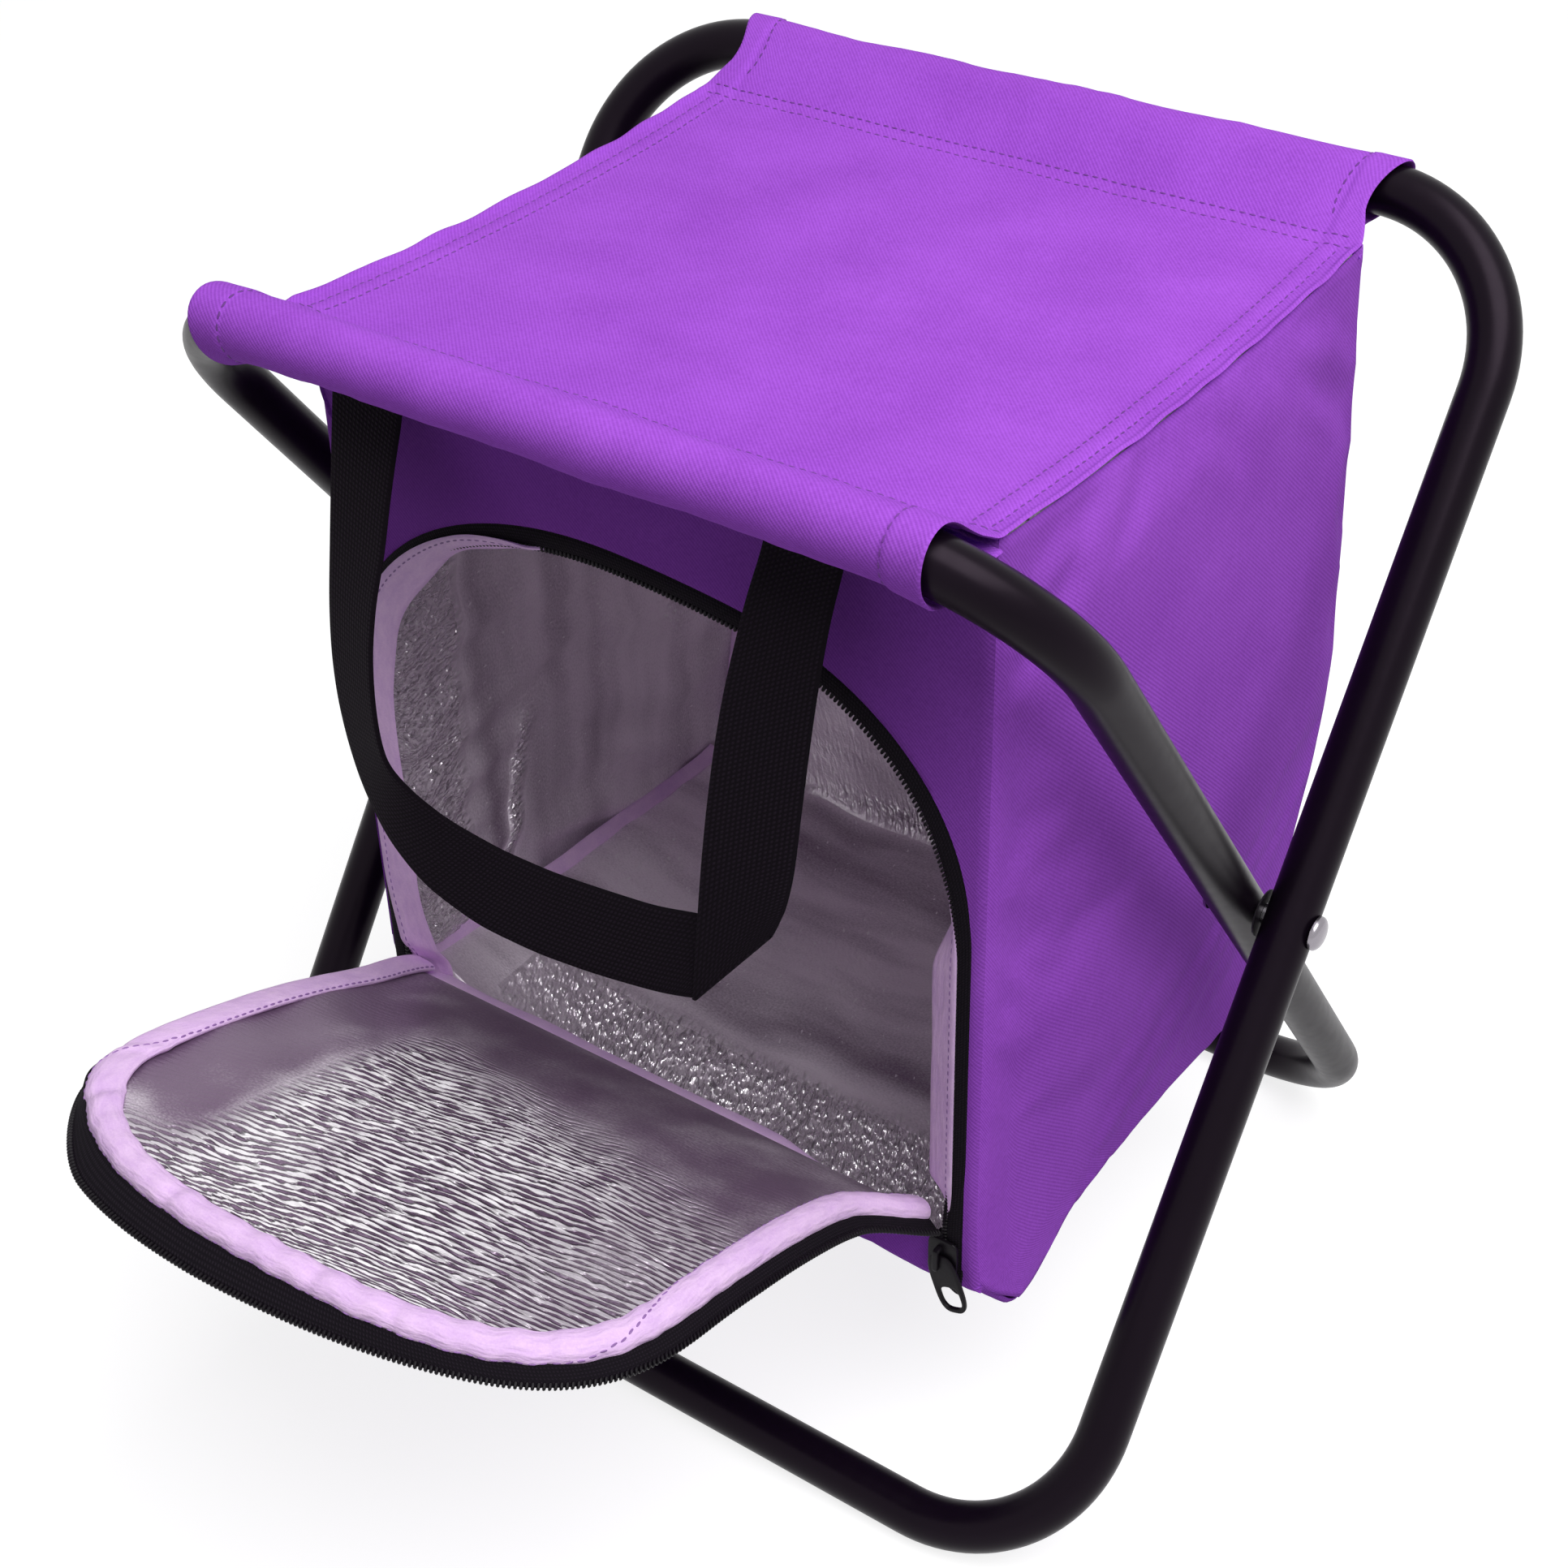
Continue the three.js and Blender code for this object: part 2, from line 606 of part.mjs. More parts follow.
// Zip slider, with +Z along the zip and X away from the flap: two plates that clasp the row of teeth, the wall
// beyond the teeth that joins them, at whose foot the origin lies, and a crown that holds the pull.
function zipSlider() {
  const reach = sliderWall + sliderReach;
  const clasp = [
    [0, -sliderOuter],
    [reach, -sliderOuter],
    [reach, -sliderOpening],
    [sliderWall, -sliderOpening],
    [sliderWall, sliderOpening],
    [reach, sliderOpening],
    [reach, sliderOuter],
    [0, sliderOuter],
  ];
  const claspShape = new THREE.Shape(clasp.map((point) => new THREE.Vector2(...point)));
  const body = new THREE.ExtrudeGeometry(claspShape, { depth: sliderLength, bevelEnabled: false });
  const halfEye = eyeSize / 2;
  const halfSpan = halfEye + crownBar;
  const rise = eyeSize + crownBar;
  const crown = [
    [-halfSpan, -sliderPlate / 2],
    [halfSpan, -sliderPlate / 2],
    [halfSpan, rise - crownBar / 2],
    [halfSpan - crownBar / 2, rise],
    [crownBar / 2 - halfSpan, rise],
    [-halfSpan, rise - crownBar / 2],
  ];
  const eye = [[-halfEye, 0], [-halfEye, eyeSize], [halfEye, eyeSize], [halfEye, 0]];
  const crownShape = new THREE.Shape(crown.map((point) => new THREE.Vector2(...point)));
  crownShape.holes.push(new THREE.Path(eye.map((point) => new THREE.Vector2(...point))));
  const arch = new THREE.ExtrudeGeometry(crownShape, { depth: crownWidth, bevelEnabled: false });
  // The crown's outline runs along the zip and stands off the front plate.
  const alongZip = new THREE.Vector3(0, 0, 1);
  const offPlate = new THREE.Vector3(0, -1, 0);
  arch.applyMatrix4(new THREE.Matrix4().makeBasis(alongZip, offPlate, new THREE.Vector3(1, 0, 0)));
  arch.translate((reach - crownWidth) / 2, -sliderOuter, sliderLength / 2);
  return join(body, arch);
}

// The pull hangs from its top bar, whose middle is its origin: two wires that meet in a half round end.
function zipPull() {
  const straight = pullLength - pullBar / 2 - pullHalfWidth;
  const wireLoop = (LoopPath, halfWidth, top) => {
    const loop = new LoopPath();
    loop.moveTo(-halfWidth, top);
    loop.lineTo(-halfWidth, -straight);
    loop.absarc(0, -straight, halfWidth, Math.PI, 2 * Math.PI, false);
    loop.lineTo(halfWidth, top);
    loop.lineTo(-halfWidth, top);
    return loop;
  };
  const outline = wireLoop(THREE.Shape, pullHalfWidth, pullBar / 2);
  outline.holes.push(wireLoop(THREE.Path, pullHalfWidth - pullBar, -pullBar / 2));
  const curveSegments = bendSteps;
  const wire = new THREE.ExtrudeGeometry(outline, { depth: pullBar, bevelEnabled: false, curveSegments });
  return wire.rotateX(Math.PI / 2).translate(0, pullBar / 2, 0);
}

function sliderGroup() {
  const group = new THREE.Group();
  group.position.set(archHalfWidth - sliderWallInset, zipPlane, zipFoot + sliderStart);
  const pull = piece('zip_pull', zipPull(), finishes.blackNylon);
  pull.position.set((sliderWall + sliderReach) / 2, -sliderOuter - eyeSize / 2, sliderLength / 2);
  group.add(piece('zip_slider', zipSlider(), finishes.blackNylon), pull);
  return group;
}

// Carry strap: a flat band that hangs in a U from under the front tuck. Its origin is between its two roots.
function carryStrap() {
  const outerHalf = strapHalfSpan + strapWidth / 2;
  const innerHalf = outerHalf - strapWidth;
  const cornerX = outerHalf - strapCorner;
  const cornerZ = strapCorner - strapDrop;
  const band = new THREE.Shape();
  band.moveTo(-outerHalf, 0);
  band.lineTo(-outerHalf, cornerZ);
  band.absarc(-cornerX, cornerZ, strapCorner, Math.PI, 1.5 * Math.PI, false);
  band.absarc(cornerX, cornerZ, strapCorner, 1.5 * Math.PI, 2 * Math.PI, false);
  band.lineTo(outerHalf, 0);
  band.lineTo(innerHalf, 0);
  band.absarc(cornerX, cornerZ, strapCorner - strapWidth, 2 * Math.PI, 1.5 * Math.PI, true);
  band.absarc(-cornerX, cornerZ, strapCorner - strapWidth, 1.5 * Math.PI, Math.PI, true);
  band.lineTo(-innerHalf, 0);
  const curveSegments = bendSteps;
  const strap = new THREE.ExtrudeGeometry(band, { depth: strapThickness, bevelEnabled: false, curveSegments });
  return strap.rotateX(Math.PI / 2).translate(0, strapThickness / 2, 0);
}

function strapPiece() {
  const strap = piece('carry_strap', carryStrap(), finishes.blackWebbing);
  const pastSeam = seamInset - strapRootInset - strapThickness / 2;
  const tuckShare = pastSeam / (seamInset - sleeveRadius * cornerShare - clearance);
  const root = seatHeight(-1 - tuckShare, -clothThickness, -tuckHalfHeight);
  strap.position.set(0, strapRootInset - barSpread / 2, root - clearance);
  strap.rotation.x = -strapLean;
  return strap;
}

// Assembly

const stool = new THREE.Group();
stool.add(loopGroup('inner', 'front_sleeve', innerLoopWidth, Math.PI - loopTilt));
stool.add(loopGroup('outer', 'back_sleeve', outerLoopWidth, loopTilt));
stool.add(piece('seat_panel', seatPanel(), finishes.purpleCloth));

const clothHalfWidth = seatHalfWidth - clothThickness - clearance;
stool.add(piece('bag_front', frontPanel(0, clothThickness, clothHalfWidth, 0), finishes.purpleCloth));
stool.add(piece('bag_back', backPanel(0, clothThickness, clothHalfWidth), finishes.purpleCloth));
stool.add(piece('bag_base', basePanel(0, clothThickness, clothHalfWidth), finishes.purpleCloth));
const frontLining = frontPanel(liningOuter, liningInner, liningHalfWidth, clothThickness);
stool.add(piece('lining_front', frontLining, finishes.foil));
stool.add(piece('lining_back', backPanel(liningOuter, liningInner, liningHalfWidth), finishes.foil));
stool.add(piece('lining_base', basePanel(liningOuter, liningInner, liningHalfWidth), finishes.foil));
stool.add(piece('lining_lid', lidLining(), finishes.foil));

for (const [name, side] of [['left', -1], ['right', 1]]) {
  const pin = piece(`pivot_rivet_${name}`, rivet(side), finishes.zincSteel);
  pin.position.z = pivotHeight;
  const spacer = piece(`pivot_washer_${name}`, washer(), finishes.blackNylon);
  spacer.position.set((side * (outerLoopWidth + innerLoopWidth)) / 4, 0, pivotHeight);
  stool.add(pin, spacer);
  stool.add(piece(`bag_side_${name}`, sideWall(side, 0, clothThickness), finishes.purpleCloth));
  stool.add(piece(`lining_side_${name}`, sideWall(side, liningOuter, liningInner), finishes.foil));
  stool.add(piece(`base_binding_${name}`, baseBinding(side), finishes.lilacTape));
  stool.add(piece(`back_binding_${name}`, backBinding(side), finishes.lilacTape));
}

const zipStations = archStations(zipFoot + clearance);
const tapeInsets = [clearance, clearance + bagTapeWidth];
const tapeBack = tapeThickness - seamFromPivot;
const flangeInset = clothThickness + clearance;
const flangeInsets = [flangeInset, flangeInset + flangeThickness];
const flange = frontBand(zipStations, flangeInsets, tapeBack + clearance, tapeBack + clearance + flangeDepth);
const bagTape = frontBand(zipStations, tapeInsets, -seamFromPivot, tapeBack);
stool.add(piece('bag_zip_tape', bagTape, finishes.blackNylon));
stool.add(piece('bag_zip_teeth', bagTeeth(), finishes.blackNylon));
stool.add(piece('opening_binding', flange, finishes.lilacTape));
stool.add(piece('hinge_binding', hingeBinding(), finishes.lilacTape));

const flapTapeStations = archStations(hingeHeight + flapTapeStart);
const flapTapeInsets = [flapTapeInset, flapTapeInset + flapTapeWidth];
const flapRimInsets = [flapEdgeInset, flapEdgeInset + flapBindingWidth];
const rimStations = archStations(hingeHeight + hingeGap);
const flapRim = flapBand(rimStations, flapRimInsets, liningOuter, liningOuter + flapBindingThickness);
const foilInset = flapRimInsets[1] + clearance;
stool.add(piece('flap_panel', flapSheet(flapEdgeInset, 0, clothThickness), finishes.purpleCloth));
stool.add(piece('flap_lining', flapSheet(foilInset, liningOuter, liningInner), finishes.foil));
stool.add(piece('flap_binding', flapRim, finishes.lilacTape));
const flapTape = flapBand(flapTapeStations, flapTapeInsets, 0, tapeThickness);
stool.add(piece('flap_zip_tape', flapTape, finishes.blackNylon));
stool.add(piece('flap_zip_teeth', flapTeeth(), finishes.blackNylon));
stool.add(sliderGroup(), strapPiece());

// The origin lies on the floor, under the middle of the stool with its flap open.
const middle = new THREE.Box3().setFromObject(stool).getCenter(new THREE.Vector3());
stool.position.y = -middle.y;

const part = new THREE.Group();
part.add(stool);

export default part;
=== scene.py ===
# %% [markdown]
# # A folding cooler stool
# Two crossed loops of black tube carry a cloth seat, and an insulated bag hangs under the seat. Its front opens by
# an arched zip, and the padded flap lies open. Every visible surface is worked out here with numpy, round the
# solids that were packed for this stool. They are loaded first, because they say where each piece goes and what
# it moves with.

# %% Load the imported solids
import math
import bpy
import numpy as np
from mathutils import Matrix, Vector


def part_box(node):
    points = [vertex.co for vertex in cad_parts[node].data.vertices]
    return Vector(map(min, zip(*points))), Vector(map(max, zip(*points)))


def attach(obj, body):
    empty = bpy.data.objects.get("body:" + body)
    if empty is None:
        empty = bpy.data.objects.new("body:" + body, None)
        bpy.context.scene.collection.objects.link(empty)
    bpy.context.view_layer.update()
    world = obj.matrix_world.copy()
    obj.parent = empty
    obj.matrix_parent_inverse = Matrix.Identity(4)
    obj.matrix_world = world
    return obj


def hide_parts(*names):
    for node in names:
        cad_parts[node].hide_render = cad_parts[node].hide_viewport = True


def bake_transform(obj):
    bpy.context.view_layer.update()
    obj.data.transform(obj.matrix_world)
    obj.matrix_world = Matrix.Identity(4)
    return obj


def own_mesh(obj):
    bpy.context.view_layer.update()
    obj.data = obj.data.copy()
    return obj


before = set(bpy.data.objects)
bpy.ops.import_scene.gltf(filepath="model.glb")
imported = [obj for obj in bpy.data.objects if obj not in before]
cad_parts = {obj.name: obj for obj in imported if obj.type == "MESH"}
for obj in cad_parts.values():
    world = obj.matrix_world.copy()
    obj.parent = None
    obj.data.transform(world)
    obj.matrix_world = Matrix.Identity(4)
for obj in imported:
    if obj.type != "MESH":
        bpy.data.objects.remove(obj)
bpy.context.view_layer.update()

# %% [markdown]
# ## Camera, light and floor
# The photograph was taken from the front right, well above the stool, with a long lens. The camera stands where a
# fit to the tubes puts it. One broad lamp above the stool, to its right and a little in front, makes the seat the
# brightest side. The front bar keeps it off the top of the bag's front, and it reaches a hand's breadth into the
# bag, as in the photograph. A weak world fills the shade. A white backdrop that only the camera and mirrors see
# costs no light on the object.

# %% Camera
MM = 0.001
CAMERA_PLACE = np.array([393.623, -496.911, 666.564])
CAMERA_YAW, CAMERA_PITCH, CAMERA_ROLL = (math.radians(a) for a in (36.341, 35.941, -1.517))
CAMERA_LENS = 58.515


def camera_axes(yaw, pitch, roll):
    """Right, up and back of a camera that is turned by yaw, tipped down by pitch and then rolled."""
    back = np.array([math.sin(yaw) * math.cos(pitch), -math.cos(yaw) * math.cos(pitch), math.sin(pitch)])
    right = np.array([math.cos(yaw), math.sin(yaw), 0.0])
    up = np.cross(back, right)
    return np.array([
        right * math.cos(roll) + up * math.sin(roll),
        up * math.cos(roll) - right * math.sin(roll),
        back,
    ]).T


def new_object(name, data):
    """An object with its data, put into the scene."""
    made = bpy.data.objects.new(name, data)
    bpy.context.scene.collection.objects.link(made)
    return made


camera = new_object("camera", bpy.data.cameras.new("camera"))
camera.data.lens = CAMERA_LENS
camera.data.clip_start = 0.01
turn = np.eye(4)
turn[:3, :3] = camera_axes(CAMERA_YAW, CAMERA_PITCH, CAMERA_ROLL)
turn[:3, 3] = CAMERA_PLACE * MM
camera.matrix_world = Matrix(turn.tolist())
bpy.context.scene.camera = camera
bpy.context.scene.view_settings.view_transform = "Standard"
print("camera at", camera.location[:])


# %% Shader sockets as numbers
class Socket:
    """A socket of a material. Sums and products with it add Math nodes, and node() adds any other node."""

    def __init__(self, tree, link=None):
        self.tree = tree
        self.link = link

    def node(self, kind, settings=None, sockets=None, output=0):
        """Adds a node: first its settings, then the values or links of its sockets. Gives one of its outputs."""
        made = self.tree.nodes.new(kind)
        for name, value in (settings or {}).items():
            setattr(made, name, value)
        for name, value in (sockets or {}).items():
            if isinstance(value, Socket):
                self.tree.links.new(value.link, made.inputs[name])
            else:
                made.inputs[name].default_value = value
        return Socket(self.tree, made.outputs[output])

    def maths(self, operation, first, second=0.0):
        return self.node("ShaderNodeMath", {"operation": operation}, {0: first, 1: second})

    def __add__(self, other):
        return self.maths("ADD", self, other)

    def __sub__(self, other):
        return self.maths("SUBTRACT", self, other)

    def __rsub__(self, other):
        return self.maths("SUBTRACT", other, self)

    def __mul__(self, other):
        return self.maths("MULTIPLY", self, other)

    __radd__ = __add__
    __rmul__ = __mul__

    def wave(self):
        """The sine of this value, from 0 to 1."""
        return self.maths("SINE", self) * 0.5 + 0.5

    def between(self, low, high):
        """0 below low, 1 above high, and a smooth step between them."""
        return self.node("ShaderNodeMapRange", {"interpolation_type": "SMOOTHSTEP"},
                         {"Value": self, "From Min": low, "From Max": high})

    def noise(self, scale, detail=2.0):
        return self.node("ShaderNodeTexNoise", {}, {"Vector": self, "Scale": scale, "Detail": detail})

    def blend(self, low, high):
        """A mix of two colours, with this value as the share of the second."""
        pair = [c if isinstance(c, Socket) else (*c, 1) for c in (low, high)]
        return self.node("ShaderNodeMix", {"data_type": "RGBA"}, {0: self, 6: pair[0], 7: pair[1]}, output=2)


# %% World, lamps and floor
WORLD_STRENGTH = 0.2
BACKDROP = 1.0
world = bpy.data.worlds.new("studio")
bpy.context.scene.world = world
world.use_nodes = True
SEEN_BY = "Is Camera Ray", "Is Glossy Ray", "Is Transmission Ray"


def seen_directly(tree):
    """1 for rays from the camera, off a mirror or through glass, and 0 for the light that falls on the object."""
    seen, *others = (Socket(tree).node("ShaderNodeLightPath", output=name) for name in SEEN_BY)
    for other in others:
        seen = seen.maths("MAXIMUM", seen, other)
    return seen


background = world.node_tree.nodes["Background"]
background.inputs["Color"].default_value = (1, 1, 1, 1)
strength = seen_directly(world.node_tree) * (BACKDROP - WORLD_STRENGTH) + WORLD_STRENGTH
world.node_tree.links.new(strength.link, background.inputs["Strength"])


def lamp(name, direction, distance, size, power):
    """A square lamp that looks at the middle of the stool from a direction."""
    made = new_object(name, bpy.data.lights.new(name, "AREA"))
    made.data.energy = power
    made.data.size = size
    back = np.array(direction) / np.linalg.norm(direction)
    side = np.cross((0.0, 1.0, 0.0), back)
    side /= np.linalg.norm(side)
    stand = np.eye(4)
    stand[:3, :3] = np.array([side, np.cross(back, side), back]).T
    stand[:3, 3] = back * distance + (0, 0, 0.18)
    made.matrix_world = Matrix(stand.tolist())


lamp("key", (0.42, -0.14, 0.9), 1.8, 1.5, 35)

floor_mesh = bpy.data.meshes.new("floor")
floor_mesh.from_pydata([(-6, -6, 0), (6, -6, 0), (6, 6, 0), (-6, 6, 0)], [], [(0, 1, 2, 3)])
floor = new_object("floor", floor_mesh)
floor.location.z = -0.0004
floor_material = bpy.data.materials.new("pale_floor")
floor_material.use_nodes = True
floor_tree = floor_material.node_tree
shader = floor_tree.nodes["Principled BSDF"]
shader.inputs["Base Color"].default_value = (0.4, 0.4, 0.4, 1)
shader.inputs["Roughness"].default_value = 0.9
shader.inputs["Emission Strength"].default_value = 0.8
floor_tree.links.new(seen_directly(floor_tree).link, shader.inputs["Emission Color"])
floor_mesh.materials.append(floor_material)
print("lamps and floor made")

# %% [markdown]
# ## Finishes
# A finish follows the cloth it is on, so each woven piece carries a flat pattern of itself in metres, as if it were
# cut and laid out, and the weave is drawn on that. The purple cloth is a twill: ribs run slantwise over it, about
# a millimetre apart, with finer threads between them. The other way would be a picture of the weave,
# but a picture has one scale and this has none.

# %% Start of a finish
def start_finish(name, numbers):
    """A material, its shader with plain numbers set, and the flat pattern's two coordinates in millimetres."""
    material = bpy.data.materials.new(name)
    material.use_nodes = True
    principled = material.node_tree.nodes["Principled BSDF"]
    for socket, value in numbers.items():
        principled.inputs[socket].default_value = value
    flat = Socket(material.node_tree).node("ShaderNodeUVMap", {"uv_map": "flat"})
    along, across = (flat.node("ShaderNodeSeparateXYZ", {}, {0: flat}, output=k) * (1 / MM) for k in (0, 1))
    return material, principled, along, across


def feed(principled, **links):
    """Links what varies over the surface to the shader. An underscore in a name stands for a space."""
    for name, socket in links.items():
        socket.tree.links.new(socket.link, principled.inputs[name.replace("_", " ")])


def place_noise(socket, scale, detail=2.0):
    """Noise at a place on the piece, whatever its flat pattern."""
    return socket.node("ShaderNodeTexCoord", output="Object").noise(scale, detail)


def bump(height, distance, strength=1.0):
    """A normal that follows a height. The distance is the height's full depth, in metres."""
    return height.node("ShaderNodeBump", {}, {"Height": height, "Distance": distance, "Strength": strength})


TAU = 2 * math.pi


# %% Purple twill
PURPLE = (0.27, 0.056, 0.50), (0.44, 0.112, 0.78)
RIB_PITCH = 1.05
THREAD_PITCH = 0.9


def twill(name, share=1.0, share_right=None):
    """Ribs are a sine across the slant; threads are a finer sine along each rib. A share below one is painted shade."""
    material, principled, along, across = start_finish(name, {"Roughness": 0.8, "Specular IOR Level": 0.08})
    slant = along + across
    rib = (slant * (TAU / (RIB_PITCH * math.sqrt(2)))).wave()
    thread = ((along - across) * (TAU / THREAD_PITCH) + slant * 1.3).wave()
    cloud = place_noise(rib, 26, 3.0)
    fleck = place_noise(rib, 900, 1.0)
    tone = (rib * 0.22 + thread * 0.1 + cloud * 0.4 + fleck * 0.32).between(0.12, 0.88)
    colour = tone.blend(*([c * share for c in shade] for shade in PURPLE))
    # Painted shade that eases towards the right and lower margin, which takes share_right in place of share.
    if share_right:
        right = (along - across * 0.3).between(-10, 78)
        colour = right.blend(colour, tone.blend(*([c * share_right for c in shade] for shade in PURPLE)))
    feed(principled, Base_Color=colour, Normal=bump(rib * 0.75 + thread * 0.25, 0.00014, 0.5))
    return material


purple = twill("purple_twill")
# The flap's outer cloth: the same twill, a little darker as painted shade.
shaded_underside = twill("purple_underside_painted_shade", 0.9)
# The bag's front: the same twill darkened as painted shade, less so towards its right and lower margin.
shaded_front = twill("purple_front_painted_shade", 0.68, 0.92)


# %% Black webbing and zip tape
def webbing(name, pitch, dark, light):
    """Two sets of ribs cross over each other, in turns, which makes the small diamonds of a plain strap."""
    material, principled, along, across = start_finish(name, {"Roughness": 0.8, "Specular IOR Level": 0.07})
    weft = (along * (TAU / pitch) + across * (TAU / (2.2 * pitch))).wave()
    warp = (across * (TAU / pitch)).wave()
    weave = weft * warp
    tone = weave + place_noise(weave, 1200, 1.0) * 0.3
    feed(principled, Base_Color=tone.between(0.1, 1.0).blend(dark, light), Normal=bump(weave, 0.0003, 0.8))
    return material


strap_black = webbing("black_webbing", 1.45, (0.005, 0.0032, 0.0055), (0.0155, 0.0105, 0.0175))
tape_black = webbing("zip_tape", 1.0, (0.006, 0.0045, 0.007), (0.016, 0.012, 0.018))


# %% Creased foil
def scaled_noise(along, across, sizes, detail):
    """Flat noise whose features are as long and wide as the two sizes, in millimetres."""
    vector = along.node("ShaderNodeCombineXYZ", {}, {0: along * (1 / sizes[0]), 1: across * (1 / sizes[1])})
    return vector.node("ShaderNodeTexNoise", {"noise_dimensions": "2D"},
                       {"Vector": vector, "Scale": 1.0, "Detail": detail})


def foil(name, ridges_of, plain, streak_sizes, metal, crease_shade):
    """Film on foam. The mesh's mark is how creased a place is, or below zero how much painted shade it has. Pale crests
    are painted highlights.
    """
    material, principled, along, across = start_finish(name, {})
    mark = along.node("ShaderNodeAttribute", {"attribute_name": "crease_and_painted_shade"}, output=2)
    amount = mark.maths("MAXIMUM", mark, 0.0)
    shade = amount - mark
    height, crests = ridges_of(along, across, amount)
    brushed = scaled_noise(along, across, (0.7, 1.0), 1.0)
    streaks = scaled_noise(along, across, streak_sizes, 2.0)
    # Painted shade: a mark below zero darkens the ground, and the last term darkens creased ground between the crests,
    # or lightens it where it is negative.
    tone = (streaks - 0.5) * 0.8 + (brushed - 0.5) * 0.4 + plain - shade * 0.55 - amount * crease_shade
    ground = tone.between(-0.1, 1.0).blend((0.2, 0.13, 0.21), (1.0, 0.92, 1.0))
    # Painted highlights: crests take a pale colour in place of the film's glints.
    feed(principled, Base_Color=crests.blend(ground, (1.0, 0.97, 1.0)),
         Metallic=crests * (metal[1] - metal[0]) + metal[0],
         Roughness=0.44 - amount * 0.22, Normal=bump(height * (amount + 0.04) + brushed * 0.03, 0.0032, 1.0))
    return material


def flecks(turn, long, short):
    """Short creases that lie one way. The more creased a place is, the lower is the level that they rise from."""
    c, sn = math.cos(turn), math.sin(turn)

    def ridges_of(along, across, amount):
        u, v = along * c + across * sn, across * c - along * sn
        dashes = scaled_noise(u, v, (long, short), 1.0)
        crossing = scaled_noise(u + v * 0.8, v, (long * 0.7, short * 1.2), 1.0)
        level = dashes.maths("MAXIMUM", dashes, crossing * 0.97) + amount * 0.25
        return dashes * 0.8 + crossing * 0.4, level.between(0.76, 0.85)
    return ridges_of


def rows_of_ridges(along, across, amount):
    """A wave along the sheet, 2.5 millimetres long. Slow noise bends its crests, and finer noise breaks them."""
    bend = scaled_noise(along, across, (60, 70), 1.0) * 2.2 + scaled_noise(along, across, (7, 16), 1.0) * 1.2
    line = (((along + across * 0.2) * (1 / 2.5) + bend) * TAU).wave()
    breaks = scaled_noise(along, across, (1.8, 7), 1.0)
    ridges = (line + (breaks - 0.5) * 1.9).between(0.15, 0.7)
    return ridges * 0.6 + breaks * 0.2, ridges * amount


# The foil inside the bag gets a far paler ground than the flap's: painted light for the dim inside of the bag.
side_foil = foil("side_foil", flecks(0.0, 4.0, 1.6), 0.74, (20, 140), (0.42, 0.9), -0.1)
floor_foil = foil("floor_foil", flecks(math.radians(-20), 4.6, 1.7), 0.74, (15, 60), (0.45, 0.9), 0.1)
flap_foil_finish = foil("flap_foil", rows_of_ridges, 0.2, (30, 24), (0.5, 0.1), 0.3)


# %% Lilac binding
def soft_tape(name, deep, light):
    """A felt-like tape: fine noise for its fibres and slow noise for its unevenness."""
    numbers = {"Roughness": 0.75, "Sheen Weight": 0.05, "Specular IOR Level": 0.25}
    material, principled, along, across = start_finish(name, numbers)
    fibres = place_noise(along, 1500, 2.0)
    cloud = place_noise(along, 60, 2.0)
    wrinkle = scaled_noise(along, across, (7, 2.5), 2.0)
    tone = fibres * 0.35 + cloud * 0.4 + wrinkle * 0.35
    feed(principled, Base_Color=tone.between(0.25, 0.85).blend(deep, light),
         Normal=bump(fibres * 0.12 + wrinkle * 0.88, 0.0009, 0.6))
    return material


lilac = soft_tape("lilac_tape", (0.76, 0.49, 0.88), (0.95, 0.68, 1.0))


# %% Paint, nylon, zinc and thread
def plain_finish(name, colour, numbers, grain, depth, spread=0.25):
    """A hard finish: its colour drifts a little with slow noise, and a fine grain roughens it."""
    material, principled, along, across = start_finish(name, numbers)
    cloud = place_noise(along, 18, 3.0)
    tint = cloud.between(0.2, 0.8).blend([c * (1 - spread) for c in colour], [c * (1 + spread) for c in colour])
    fine = place_noise(along, grain, 2.0)
    base = numbers["Roughness"]
    feed(principled, Base_Color=tint, Roughness=fine * (base * 0.4) + base * 0.8, Normal=bump(fine, depth, 0.5))
    return material


paint = plain_finish("black_paint", (0.004, 0.0022, 0.0048),
                     {"Roughness": 0.32, "IOR": 1.21, "Specular Tint": (1.0, 0.78, 1.0, 1)}, 240, 0.00002)
nylon = plain_finish("black_nylon", (0.005, 0.0035, 0.0058), {"Roughness": 0.42, "Specular IOR Level": 0.14},
                     1500, 0.00005)
zinc = plain_finish("bright_zinc", (0.3, 0.28, 0.31), {"Roughness": 0.24, "Metallic": 1.0}, 900, 0.00005, 0.1)
thread_purple = plain_finish("purple_thread", (0.15, 0.028, 0.27), {"Roughness": 0.6}, 2500, 0.0001)
thread_lilac = plain_finish("lilac_thread", (0.33, 0.17, 0.45), {"Roughness": 0.6}, 2500, 0.0001)
print("finishes:", [m.name for m in bpy.data.materials])

# %% [markdown]
# ## Building blocks
# Four kinds of surface make every piece. A shell is a grid of points with a thickness, for cloth, foil and tube. A
# sweep carries a closed section along a path, for rolled bindings and wires. A scatter repeats a small shape, for
# stitches and zip teeth. A bead is a rounded block. All work on whole arrays of points in millimetres, in the
# photograph fit's own frame, and are shifted and scaled as they become a mesh.

# %% Frame of the fit
FRONT_Y = -100.0
SHIFT = np.array([0.0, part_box("bag_front")[0].y / MM - FRONT_Y, 0.0])


def to_metres(points):
    return (points + SHIFT) * MM


def spot(x, y, z):
    """A point, in metres."""
    return tuple(to_metres(np.array([x, y, z], float)).tolist())


def unit(vectors):
    return vectors / np.maximum(np.linalg.norm(vectors, axis=-1, keepdims=True), 1e-9)


